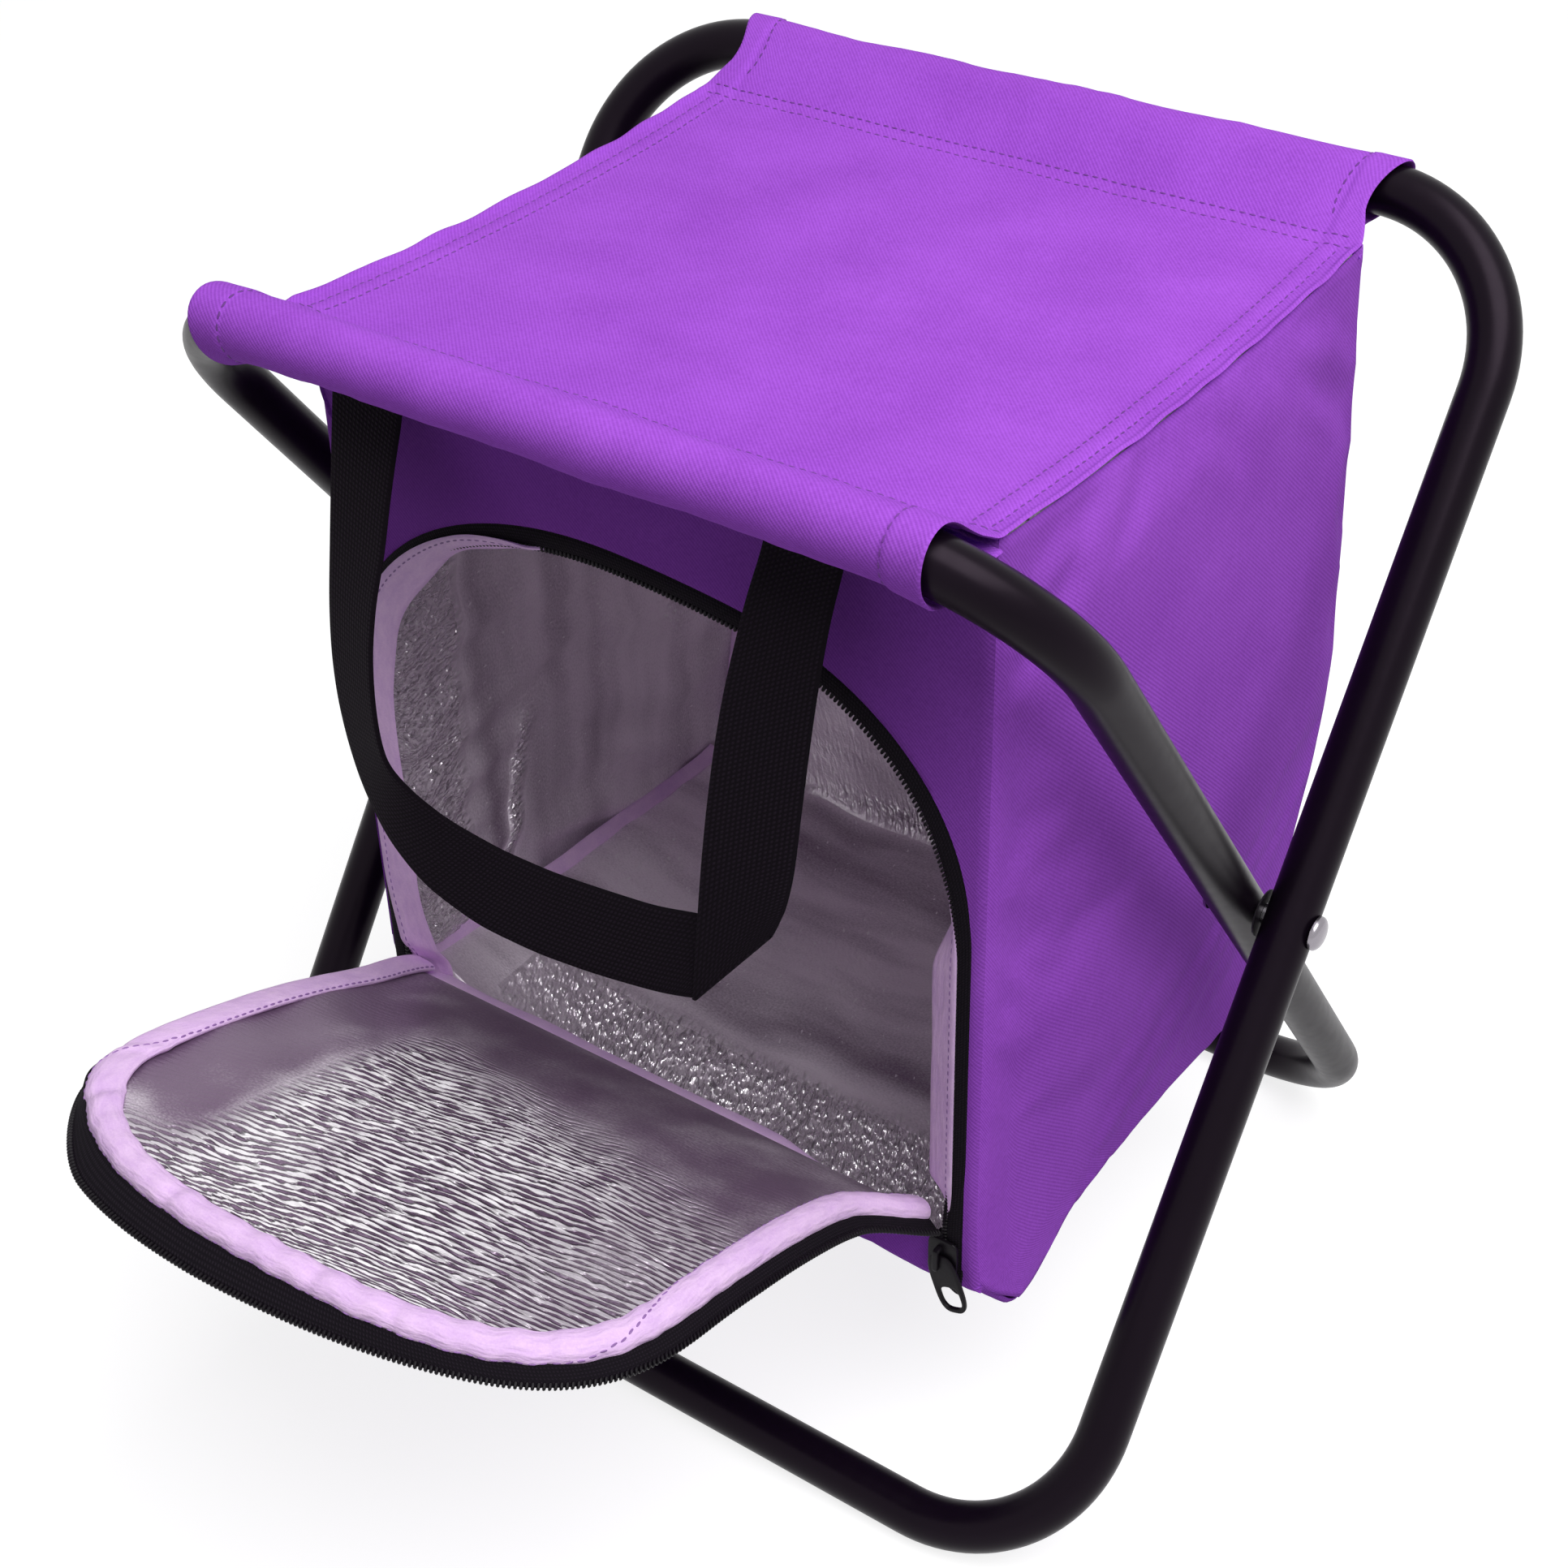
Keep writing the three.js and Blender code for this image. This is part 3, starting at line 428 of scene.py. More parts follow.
def smooth_step(value, low, high):
    """0 at low, 1 at high, and level at both: 3 t squared less 2 t cubed."""
    t = np.clip((value - low) / (high - low), 0, 1)
    return t * t * (3 - 2 * t)


def hill(value, middle, width):
    """1 at the middle, falling off to both sides as a bell."""
    return np.exp(-((value - middle) / width) ** 2)


def run_of(line):
    """How far along a line of points each of them is."""
    return np.concatenate([[0.0], np.cumsum(np.linalg.norm(np.diff(line, axis=0), axis=-1))])


def at_runs(at, run, values):
    """Values that belong to some runs along a line, read off at other runs."""
    return np.stack([np.interp(at, run, column) for column in values.T], -1)


def evenly(line, count):
    """So many points, evenly spaced along a line of points."""
    run = run_of(line)
    return at_runs(np.linspace(0, run[-1], count), run, line)


def ripples(u, v, wavelength, spread, seed, waves=32):
    """Soft random waves: a sum of sines that cross v, each turned by a random angle. About -1 to 1."""
    random = np.random.default_rng(seed)
    number = TAU / wavelength * random.uniform(0.7, 1.45, waves)
    angle = random.normal(0, spread, waves)
    phase = random.uniform(0, TAU, waves)
    total = 0.0
    for k, a, p in zip(number, angle, phase):
        total = total + np.sin(k * math.sin(a) * u + k * math.cos(a) * v + p)
    return total * math.sqrt(1 / waves)


# %% Patches
class Patch:
    """Points, faces, each face's flat pattern, and one value per point."""

    def __init__(self, points, faces, flats, values=None):
        self.points = points
        self.faces = faces
        self.flats = flats
        self.values = np.zeros(len(points)) if values is None else values

    def outward(self):
        """Turns the faces round if the volume they enclose is negative."""
        volume = 0.0
        for face in self.faces:
            a, b, c = (self.points[face[..., k]] for k in (0, 1, 2))
            volume += (np.cross(b, c) * a).sum()
            if face.shape[-1] == 4:
                volume += (np.cross(c, self.points[face[..., 3]]) * a).sum()
        if volume < 0:
            self.faces = [face[:, ::-1] for face in self.faces]
            self.flats = [flat[:, ::-1] for flat in self.flats]
        return self


def grid_faces(rows, columns, close_rows=False, close_columns=False):
    """Quads of a grid of points, and the unclosed row and column of each corner."""
    i, j = np.meshgrid(np.arange(rows - (not close_rows)), np.arange(columns - (not close_columns)), indexing="ij")
    row = np.stack([i, i + 1, i + 1, i], -1).reshape(-1, 4)
    column = np.stack([j, j, j + 1, j + 1], -1).reshape(-1, 4)
    return (row % rows) * columns + column % columns, row, column


def slopes(points, close_rows=False):
    """Unit normals of a grid: the cross product of its slopes along rows and columns."""
    if close_rows:
        down = np.roll(points, -1, 0) - np.roll(points, 1, 0)
    else:
        down = np.gradient(points, axis=0)
    return unit(np.cross(down, np.gradient(points, axis=1)))


def lengths(points, axis, closed=False):
    """How far each row or column lies along the sheet: the mean of the summed steps."""
    steps = np.linalg.norm(np.diff(points, axis=axis), axis=-1).mean(1 - axis)
    run = np.concatenate([[0.0], np.cumsum(steps)])
    if closed:
        first, last = np.take(points, 0, axis), np.take(points, -1, axis)
        run = np.append(run, run[-1] + np.linalg.norm(first - last, axis=-1).mean())
    return run


def flat_pattern(points, closed=False):
    """The sheet laid out flat: its rows and columns by their lengths, in millimetres."""
    return np.stack(np.meshgrid(lengths(points, 0, closed), lengths(points, 1), indexing="ij"), -1)


def shell(points, thickness, closed=False, flat=None, values=None, back=None):
    """A sheet with two faces: the grid, a copy pushed back along its normals, and a rounded rim between them."""
    rows, columns = points.shape[:2]
    back = points - slopes(points, closed) * thickness if back is None else back
    middle = (points + back) / 2
    half = np.linalg.norm(points - back, axis=-1, keepdims=True) / 2

    def rim(edge, inner):
        return (middle[:, edge] + unit(points[:, edge] - points[:, inner]) * half[:, edge])[:, None]

    loop = np.concatenate([points, rim(-1, -2), back[:, ::-1], rim(0, 1)], 1)
    flat = flat_pattern(points, closed) if flat is None else flat
    flat = np.concatenate([flat, flat[:, -1:], flat[:, ::-1], flat[:, :1]], 1)
    width = 2 * columns + 2
    quads, row, column = grid_faces(rows, width, closed, True)
    faces, flats = [quads], [flat[row, column % width]]
    if not closed:
        j = np.arange(columns - 1)
        for first, turn_round in ((0, False), (rows - 1, True)):
            start = first * width
            strip = start + np.stack([j, j + 1, 2 * columns - 1 - j, 2 * columns - j], -1)
            ends = start + np.array([[columns - 1, columns, columns + 1], [2 * columns, 2 * columns + 1, 0]])
            for cap in (strip, ends):
                cap = cap[:, ::-1] if turn_round else cap
                faces.append(cap)
                flats.append(flat.reshape(-1, 2)[cap])
    if values is not None:
        zero = np.zeros_like(values)
        values = np.concatenate([values, zero[:, :1], zero, zero[:, :1]], 1).reshape(-1)
    return Patch(loop.reshape(-1, 3), faces, flats, values).outward()


def end_fans(rows, columns):
    """Triangles that close the first and the last ring of a tube of points."""
    ring = np.arange(columns - 2)
    return [np.stack([np.full(columns - 2, start), start + 1 + ring, start + 2 + ring], -1)[:, ::order]
            for start, order in ((0, -1), ((rows - 1) * columns, 1))]


def sweep(path, across, lift, section):
    """A closed section carried along a path: each point is the path plus its share of two directions."""
    points = path[:, None] + section[..., :1] * across[:, None] + section[..., 1:] * lift[:, None]
    rows, columns = points.shape[:2]
    faces, row, column = grid_faces(rows, columns, False, True)
    run = lengths(points, 0)
    ring = np.arange(columns + 1) * np.linalg.norm(points[0, 1] - points[0, 0])
    fans = end_fans(rows, columns)
    flats = [np.stack([run[row], ring[column]], -1), *(np.zeros((*fan.shape, 2)) for fan in fans)]
    return Patch(points.reshape(-1, 3), [faces, *fans], flats).outward()


def bead(size, square, rings=8, sides=12):
    """A rounded block: a ball whose sines and cosines are raised to a power below one, which squares it off."""
    angle = np.linspace(-math.pi / 2, math.pi / 2, rings + 1)[:, None]
    turn = np.linspace(0, TAU, sides, endpoint=False)[None, :]

    def power(value):
        return np.sign(value) * np.abs(value) ** square

    ball = np.stack(np.broadcast_arrays(power(np.cos(angle)) * power(np.cos(turn)),
                                        power(np.cos(angle)) * power(np.sin(turn)), power(np.sin(angle))), -1)
    points = ball[1:-1].reshape(-1, 3) * size
    faces, _, _ = grid_faces(rings - 1, sides, False, True)
    poles = np.array([[0, 0, -size[2]], [0, 0, size[2]]])
    ring = np.arange(sides)
    low = np.stack([np.full(sides, len(points)), (ring + 1) % sides, ring], -1)
    top = (rings - 2) * sides
    high = np.stack([np.full(sides, len(points) + 1), top + ring, top + (ring + 1) % sides], -1)
    faces = [faces, low, high]
    flats = [np.zeros((*face.shape, 2)) for face in faces]
    return Patch(np.concatenate([points, poles]), faces, flats).outward()


def scatter(shape, places, axes):
    """Copies of one small shape: its x, y and z are turned to three axes at each place."""
    points = places[:, None] + np.einsum("pk,nkc->npc", shape.points, axes)
    count, size = points.shape[:2]
    offsets = (np.arange(count) * size)[:, None, None]
    faces = [(face[None] + offsets).reshape(-1, face.shape[1]) for face in shape.faces]
    return Patch(points.reshape(-1, 3), faces, [np.zeros((*face.shape, 2)) for face in faces])


def join(*patches):
    """Several patches as one."""
    starts = np.cumsum([0] + [len(p.points) for p in patches[:-1]])
    faces = [face + start for p, start in zip(patches, starts) for face in p.faces]
    flats = [flat for p in patches for flat in p.flats]
    return Patch(np.concatenate([p.points for p in patches]), faces, flats,
                 np.concatenate([p.values for p in patches]))


# %% From patch to piece
SHARP = math.radians(52)


def piece(name, patch, material, body=None, replaces=(), sharp=SHARP):
    """Puts a patch into a mesh, with its flat pattern in metres, hides the solids it replaces and hangs it on its body.
    """
    mesh = bpy.data.meshes.new(name)
    mesh.from_pydata(to_metres(patch.points).tolist(), [], [f for face in patch.faces for f in face.tolist()])
    layer = mesh.uv_layers.new(name="flat")
    layer.data.foreach_set("uv", np.concatenate([f.reshape(-1) for f in patch.flats]) * MM)
    if patch.values.any():
        mesh.attributes.new("crease_and_painted_shade", "FLOAT", "POINT").data.foreach_set("value", patch.values.astype(np.float32))
    mesh.polygons.foreach_set("use_smooth", np.ones(len(mesh.polygons), bool))
    mesh.set_sharp_from_angle(angle=sharp)
    mesh.materials.append(material)
    made = new_object(name, mesh)
    if replaces:
        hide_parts(*replaces)
    if body:
        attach(made, body)
    print(f"{name}: {sum(len(f) * (f.shape[1] - 2) for f in patch.faces)} triangles")
    return made


def stitch_row(path, normal, pitch=3.4, length=2.3, thick=0.42, sink=0.1):
    """A row of stitches: small capsules, evenly spaced along a path and pressed a little into the cloth."""
    run = run_of(path)
    at = np.arange(pitch / 2, run[-1], pitch)
    place = at_runs(at, run, path)
    up = unit(at_runs(at, run, normal))
    forward = unit(at_runs(at + 0.3, run, path) - at_runs(at - 0.3, run, path))
    side = unit(np.cross(up, forward))
    axes = np.stack([side, np.cross(forward, side), forward], 1)
    return scatter(bead(np.array([thick, thick * 0.8, length / 2]), 0.9, 6, 6), place - up * sink, axes)


def area_of(points):
    """The area of a grid in square metres: half the cross product of two sides, for each triangle."""
    corners = points[:-1, :-1], points[1:, :-1], points[1:, 1:], points[:-1, 1:]
    halves = [np.cross(b - a, c - a) for a, b, c in (corners[:3], (corners[0], *corners[2:]))]
    return sum(np.linalg.norm(half, axis=-1).sum() for half in halves) / 2 * MM ** 2


def cut(points):
    """Works out a sheet's own area, in square metres; nothing uses it."""
    area = area_of(points)


# %% [markdown]
# ## Frame
# Each loop is one steel tube, 16 mm across, bent at four corners and closed inside its sleeve. A circle carried
# round the loop with many steps in the bends makes it round. The rivet that joins two legs has a low domed head.

# %% Loops of tube
TUBE_RADIUS = 8.0
BEND_RADIUS = 51.0
BAR = np.array([127.7, 358.1])
PIVOT_Z = 183.05
OUTER_HALF = 165.2
INNER_HALF = 147.787
HALF_LENGTH = math.hypot(BAR[0], BAR[1] - PIVOT_Z)
TILT = math.atan2(BAR[1] - PIVOT_Z, BAR[0])


def loop_path(half_width, steps=28):
    """The loop's centre line in its own plane, from the middle of its top bar round to it, and outward directions."""
    quarter = np.linspace(0, math.pi / 2, steps)
    corners = [(1, 1), (1, -1), (-1, -1), (-1, 1)]
    angle = np.concatenate([math.pi / 2 - k * math.pi / 2 - quarter for k in range(4)])
    middle = np.repeat([(x * (half_width - BEND_RADIUS), y * (HALF_LENGTH - BEND_RADIUS)) for x, y in corners],
                       steps, axis=0)
    out = np.stack([np.cos(angle), np.sin(angle)], -1)
    seam = np.array([[0.3, HALF_LENGTH], [-0.3, HALF_LENGTH]])
    path = np.concatenate([seam[:1], middle + BEND_RADIUS * out, seam[1:]])
    return path, np.concatenate([[[0, 1]], out, [[0, 1]]])


def tilted(points, tilt):
    """From a loop's own plane to the stool: turned about X by the tilt, and raised to the pivot."""
    x, y, z = np.moveaxis(points, -1, 0)
    c, s = math.cos(tilt), math.sin(tilt)
    return np.stack([x, y * c - z * s, y * s + z * c + PIVOT_Z], -1)


def hollow_tube(half_width, tilt):
    """The tube's wall goes inwards, whichever way the grid's normals point."""
    path, out = loop_path(half_width)
    turn = np.linspace(0, TAU, 40, endpoint=False)[:, None, None]
    flat_out = np.concatenate([out, np.zeros((len(out), 1))], 1)
    flat_path = np.concatenate([path, np.zeros((len(path), 1))], 1)
    ring = tilted(flat_path + TUBE_RADIUS * (np.cos(turn) * flat_out + np.sin(turn) * np.array([0, 0, 1.0])), tilt)
    centre = tilted(flat_path, tilt)
    wall = np.sign((slopes(ring, True) * (ring - centre)).sum())
    return shell(ring, wall, closed=True)


piece("front_loop_tube", hollow_tube(INNER_HALF, math.pi - TILT), paint, "seat_frame", ["inner_tube"])
piece("back_loop_tube", hollow_tube(OUTER_HALF, TILT), paint, "back_frame", ["outer_tube"])


# %% Rivets
def turned(profile, side, sides=48):
    """A profile of radius and height, turned about X and pointing to one side."""
    turn = np.linspace(0, TAU, sides, endpoint=False)
    radius, height = profile[:, 0], profile[:, 1]
    path = np.stack([side * height, np.zeros_like(height), np.full_like(height, PIVOT_Z)], -1)
    section = radius[:, None, None] * np.stack([np.cos(turn), np.sin(turn)], -1)[None]
    across = np.tile([0.0, 1.0, 0.0], (len(profile), 1))
    lift = np.tile([0.0, 0.0, 1.0], (len(profile), 1))
    return sweep(path, across, lift, section)


def rivet_profile():
    """Set head inside, shank through both legs, and a head outside whose dome is a quarter of an ellipse."""
    inside, outside = INNER_HALF - TUBE_RADIUS - 0.3, OUTER_HALF + TUBE_RADIUS + 0.2
    dome = np.linspace(0, math.pi / 2, 12)[:-1]
    head = np.stack([5.4 * np.cos(dome) ** 0.8, outside + 0.5 + 2.4 * np.sin(dome)], -1)
    start = [[0.05, inside - 1.4], [2.2, inside - 1.4], [4.6, inside - 1.0], [4.9, inside - 0.4], [4.9, inside],
             [3.0, inside], [3.0, outside], [5.4, outside]]
    return np.concatenate([start, head, [[0.05, outside + 2.9]]])


for side, word in ((-1, "left"), (1, "right")):
    piece(f"rivet_{word}", turned(rivet_profile(), side), zinc, "back_frame",
          [f"pivot_rivet_{word}"], math.radians(35))
    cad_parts[f"pivot_washer_{word}"].data.materials[0] = nylon
for name in ("inner_joint_plug", "outer_joint_plug"):
    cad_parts[name].data.materials[0] = zinc

# %% [markdown]
# ## Seat cloth
# The real seat is one piece of twill. It wraps over both top bars, and each end is sewn down to make a sleeve, so
# the section is a drop round each bar with a shallow sag between them. A bar bends away downwards near its ends,
# and there the sleeve hangs open under it. Along each side edge a hem is folded in and sewn twice, and the raw edge
# of the bag's side stands up as a thin lip. The back bar turns when the stool folds, and the cloth is hung on
# neither body.

# %% Section of the seat cloth
SEAM = np.array([100.0, 350.0])
SEAT_HALF = 120.6
SEAT_SAG = 4.0
SLEEVE_RADIUS = 9.8
HEM_SEAMS = 5.4, 11.0
SLEEVE_SEAM = 11.6
CROSS_SEAMS = -1.6, 1.8
TO_PIVOT = np.array([-BAR[0], PIVOT_Z - BAR[1]]) / HALF_LENGTH


def bar_drop(x, half_width):
    """How far the top bar has bent away at x: a circle's fall, for the inner side of the tube."""
    inner = BEND_RADIUS - SLEEVE_RADIUS
    past = np.clip(np.abs(x) - (half_width - BEND_RADIUS), 0, inner)
    return inner - np.sqrt(inner ** 2 - past ** 2)


def resample(points, step):
    """Points evenly spaced along a line of points."""
    return evenly(points, int(run_of(points)[-1] / step))


def soften(points, reach):
    """Rounds the corners of an evenly spaced line with a bell-shaped average; its ends stay."""
    bell = np.exp(-0.5 * (np.arange(-3 * reach, 3 * reach + 1) / reach) ** 2)
    bell /= bell.sum()
    padded = np.pad(points, ((3 * reach, 3 * reach), (0, 0)), mode="reflect", reflect_type="odd")
    return np.stack([np.convolve(padded[:, k], bell, "valid") for k in range(points.shape[1])], -1)


def sleeve_section():
    """From under the seam, along the lower face to the bar, round it, and down the upper face to the seam."""
    reach = SEAM - BAR
    toward = math.atan2(reach[1], -reach[0])
    spread = math.acos(SLEEVE_RADIUS / np.linalg.norm(reach))
    angle = np.linspace(toward - spread, toward + spread - TAU, 80)
    ring = np.array([-BAR[0], BAR[1]]) + SLEEVE_RADIUS * np.stack([np.cos(angle), np.sin(angle)], -1)
    return np.concatenate([[[-SEAM[0] - 1, SEAM[1] - 2.4]], ring, [[-SEAM[0], SEAM[1]]]])


def seat_section(step=1.5):
    """Front sleeve, seat and back sleeve as one line of (y, z), with a row number that says where each seam is."""
    sleeve = sleeve_section()
    y = np.linspace(-SEAM[0], 0, 40)[1:]
    seat = np.stack([y, SEAM[1] - SEAT_SAG * (1 - (y / SEAM[0]) ** 2)], -1)
    half = soften(resample(np.concatenate([sleeve, seat]), step), 2)
    return np.concatenate([half, half[-2::-1] * [-1, 1]])


section = seat_section()
edge_columns = np.linspace(0, 13.6, 18)
columns = np.concatenate([edge_columns - SEAT_HALF, np.linspace(-107, 107, 56)[1:-1], SEAT_HALF - edge_columns[::-1]])


def seat_grid(x, line):
    """The section at each x. Near a bar's end its lower side drops with the bar and its upper side stays."""
    x = x[None, :]
    y, z = line[:, :1], line[:, 1:]
    front = y < 0
    drop = np.where(front, bar_drop(x, INNER_HALF), bar_drop(x, OUTER_HALF))
    beyond = smooth_step(np.abs(y), SEAM[0] - 2, SEAM[0] + 24)
    offset = np.stack([np.abs(y) - BAR[0], z - BAR[1]], -1)
    under = np.clip((1 + (offset * TO_PIVOT).sum(-1) / SLEEVE_RADIUS) / 2, 0, 1)
    grow = 1 + 0.1 * drop / SLEEVE_RADIUS * beyond
    local = offset * grow[..., None] + (drop * under * beyond)[..., None] * TO_PIVOT
    new_y = np.where(beyond > 0, BAR[0] + local[..., 0], np.abs(y))
    new_z = np.where(beyond > 0, BAR[1] + local[..., 1], z)
    cut_back = 9 * under * beyond * smooth_step(np.abs(x), 95, SEAT_HALF) * np.where(front, 0.3, 1.0)
    return np.stack([x - np.sign(x) * cut_back, np.where(front, -new_y, new_y), new_z], -1)


def seat_relief(points):
    """How far the cloth stands off its plain surface: hems, stitch furrows, the lip at each side, and slack."""
    x, y, _ = np.moveaxis(points, -1, 0)
    inside = SEAT_HALF - np.abs(x)
    on_seat = 1 - smooth_step(np.abs(y), SEAM[0] - 3, SEAM[0] + 3)
    run = y + 0.35 * x
    hem = 0.55 * (1 - smooth_step(inside, 11.2, 12.6))
    furrow = sum(hill(inside, at, 0.8) for at in HEM_SEAMS)
    pucker = ripples(x * 0, run, 7.5, 0.0, 5) * hill(inside, 8, 5)
    lip = (1.5 + 0.45 * ripples(x * 0, run, 30, 0.0, 8)) * hill(inside, 0.4, 1.3)
    sleeve_furrow = hill(inside, SLEEVE_SEAM, 0.9)
    seams = sum(hill(np.abs(y), SEAM[0] + at, 1.0) for at in CROSS_SEAMS)
    ends = smooth_step(inside, 3, 16)
    slack = 0.5 * ripples(x, y, 70, 1.2, 11, 12) + 0.14 * ripples(x, y, 16, 1.2, 12)
    seat = hem - 0.4 * furrow + 0.16 * pucker + lip
    sleeve = hem - 0.35 * sleeve_furrow
    return (on_seat * seat + (1 - on_seat) * sleeve - 0.35 * seams * ends
            + 0.12 * seams * ripples(y * 0, x, 7, 0.0, 21) + slack * smooth_step(inside, 0, 30))


plain_seat = seat_grid(columns, section)
seat_normal = slopes(plain_seat)
if seat_normal[len(section) // 2, len(columns) // 2, 2] < 0:
    seat_normal = -seat_normal
seat_points = plain_seat + seat_normal * seat_relief(plain_seat)[..., None]
seat_wall = np.sign((slopes(seat_points) * seat_normal).sum()) * 1.0
seat_cloth = piece("seat_cloth", shell(seat_points, seat_wall), purple, None,
                   ["seat_panel", "front_sleeve", "back_sleeve"])
spot(0, -SEAM[0], SEAM[1])
spot(0, SEAM[0], SEAM[1])
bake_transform(seat_cloth)
cut(plain_seat)


# %% Stitches of the seat
def seat_path(pick_rows, x=None, row=None):
    """A line on the seat cloth, along y at one x or along x at one row, with its normals."""
    if row is None:
        column = np.abs(columns - x).argmin()
        return seat_points[pick_rows, column], seat_normal[pick_rows, column]
    return seat_points[row, pick_rows], seat_normal[row, pick_rows]


seat_y = seat_points[:, len(columns) // 2, 1]
seat_rows = np.flatnonzero(np.abs(seat_y) < SEAM[0] - 3)
seat_rows = seat_rows[seat_points[seat_rows, len(columns) // 2, 2] > 344]
rows_of_stitches = [stitch_row(*seat_path(seat_rows, x=s * (SEAT_HALF - inset)))
                    for s in (-1, 1) for inset in HEM_SEAMS]
top = np.flatnonzero(seat_normal[:, len(columns) // 2, 2] > 0.1)
inner_columns = np.arange(3, len(columns) - 3)
for y in (-SEAM[0] + 2.2, *(SEAM[0] + at for at in CROSS_SEAMS)):
    row = top[np.abs(seat_y[top] - y).argmin()]
    rows_of_stitches.append(stitch_row(*seat_path(inner_columns, row=row)))
for sign in (-1, 1):
    sleeve_rows = np.flatnonzero((sign * seat_y > SEAM[0] + 6) & (np.arange(len(seat_y)) > 6)
                                 & (np.arange(len(seat_y)) < len(seat_y) - 6))
    for s in (-1, 1):
        rows_of_stitches.append(stitch_row(*seat_path(sleeve_rows, x=s * (SEAT_HALF - SLEEVE_SEAM))))
seat_stitches = piece("seat_stitches", join(*rows_of_stitches), thread_purple)
spot(0, -SEAM[0], SEAM[1])
spot(0, SEAM[0], SEAM[1])
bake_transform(seat_stitches)

# %% [markdown]
# ## Bag
# The bag hangs from the seat's side hems and seams. It is sewn from two side gussets, one strip that runs down the
# back and under the base, and a front. The side and back cloth is a little too long for its seams, so it bulges
# and dents softly. The solver that Blender has for cloth finds that shape: the edges are held, the cloth gets some
# slack and a slight push from inside, and its result is kept. When the stool folds, all of this crumples flat
# against the front.


def settle(points, held, push, slack, cap, outward, frames=16):
    """Blender's cloth solver on one grid. No point moves further than the cap, or inwards on to the lining."""
    mesh = bpy.data.meshes.new("settling")
    mesh.from_pydata(to_metres(points.reshape(-1, 3)).tolist(), [], grid_faces(*points.shape[:2])[0].tolist())
    cloth = new_object("settling", mesh)
    group = cloth.vertex_groups.new(name="held")
    group.add(np.flatnonzero(held.reshape(-1)).tolist(), 1.0, "REPLACE")
    solver = cloth.modifiers.new("cloth", "CLOTH")
    settings = {"quality": 5, "mass": 0.25, "tension_stiffness": 20, "compression_stiffness": 20,
                "shear_stiffness": 12, "bending_stiffness": 1.2, "shrink_min": -slack, "use_pressure": True,
                "uniform_pressure_force": push, "vertex_group_mass": "held"}
    for name, value in settings.items():
        setattr(solver.settings, name, value)
    solver.settings.effector_weights.gravity = 0
    solver.point_cache.frame_end = frames
    for number in range(1, frames + 1):
        bpy.context.scene.frame_set(number)
    shaped = cloth.evaluated_get(bpy.context.evaluated_depsgraph_get()).to_mesh()
    moved = np.zeros(len(mesh.vertices) * 3, np.float32)
    shaped.vertices.foreach_get("co", moved)
    bpy.data.objects.remove(cloth)
    bpy.context.scene.frame_set(1)
    step = moved.reshape(points.shape) / MM - SHIFT - points
    size = np.linalg.norm(step, axis=-1, keepdims=True)
    print(f"cloth moved by up to {size.max():.1f} mm")
    normal = slopes(points) * outward
    out = (step * normal).sum(-1, keepdims=True)
    return points + normal * np.clip(out, 0, cap)


# %% Outline of the bag
BAG_HALF = 120
BASE_Z = 68.0
BELLY_Z = 206.2
FOOT_Y = 86.0
FOOT_CURVE = np.array([[-100, 86], [-98.5, 84.5], [-91, 75.5], [-84.5, 67.2], [-80, 65.6], [-72, 65.9], [-60, 68],
                       [-43, 71.6], [-20, 73.2], [0, 73.6], [27, 72], [51, 70.2], [75, 69.4], [86, 70.5]])


def back_wall(z):
    """Leans out from its foot to the belly, and comes in again to the seat's seam."""
    climb = np.clip((z - BASE_Z) / (BELLY_Z - BASE_Z), 0, 1)
    neck = np.clip((z - BELLY_Z) / (SEAM[1] - BELLY_Z), 0, 1)
    return SEAM[0] + 16 - 30 * (1 - climb) ** 1.6 - 8 * neck ** 1.3


def half_width(side, y, z):
    """Half the bag's width: it bulges at its low front corners and belly, and is pulled in at the front left."""
    corner = 4.5 * np.exp(-((z - 66) / 26) ** 2 - ((y + 84) / 30) ** 2)
    belly = 2.0 * smooth_step(y, 10, 100) * hill(z, 215, 80)
    pulled = (4.2 + 2.2 * smooth_step(z, 220, 320)) * (1 - smooth_step(z, 334, 348)) * (1 - smooth_step(y, -99, -45))
    return BAG_HALF + corner + belly - np.where(np.asarray(side) < 0, pulled, 0.0)


def seat_under(y):
    """Height of the seat cloth over y."""
    return SEAM[1] - SEAT_SAG * (1 - (np.clip(y, -SEAM[0], SEAM[0]) / SEAM[0]) ** 2)


def foot_height(y):
    return np.interp(y, FOOT_CURVE[:, 0], FOOT_CURVE[:, 1])


CORNER = 4.5
SEWN = CORNER * (1 - math.sqrt(0.5))


def tuck_in(distance):
    """How far a panel's face turns in near a sewn edge: the fall of a circle of the corner's radius."""
    gap = np.clip(CORNER - distance, 0, CORNER)
    return CORNER - np.sqrt(CORNER ** 2 - gap ** 2)


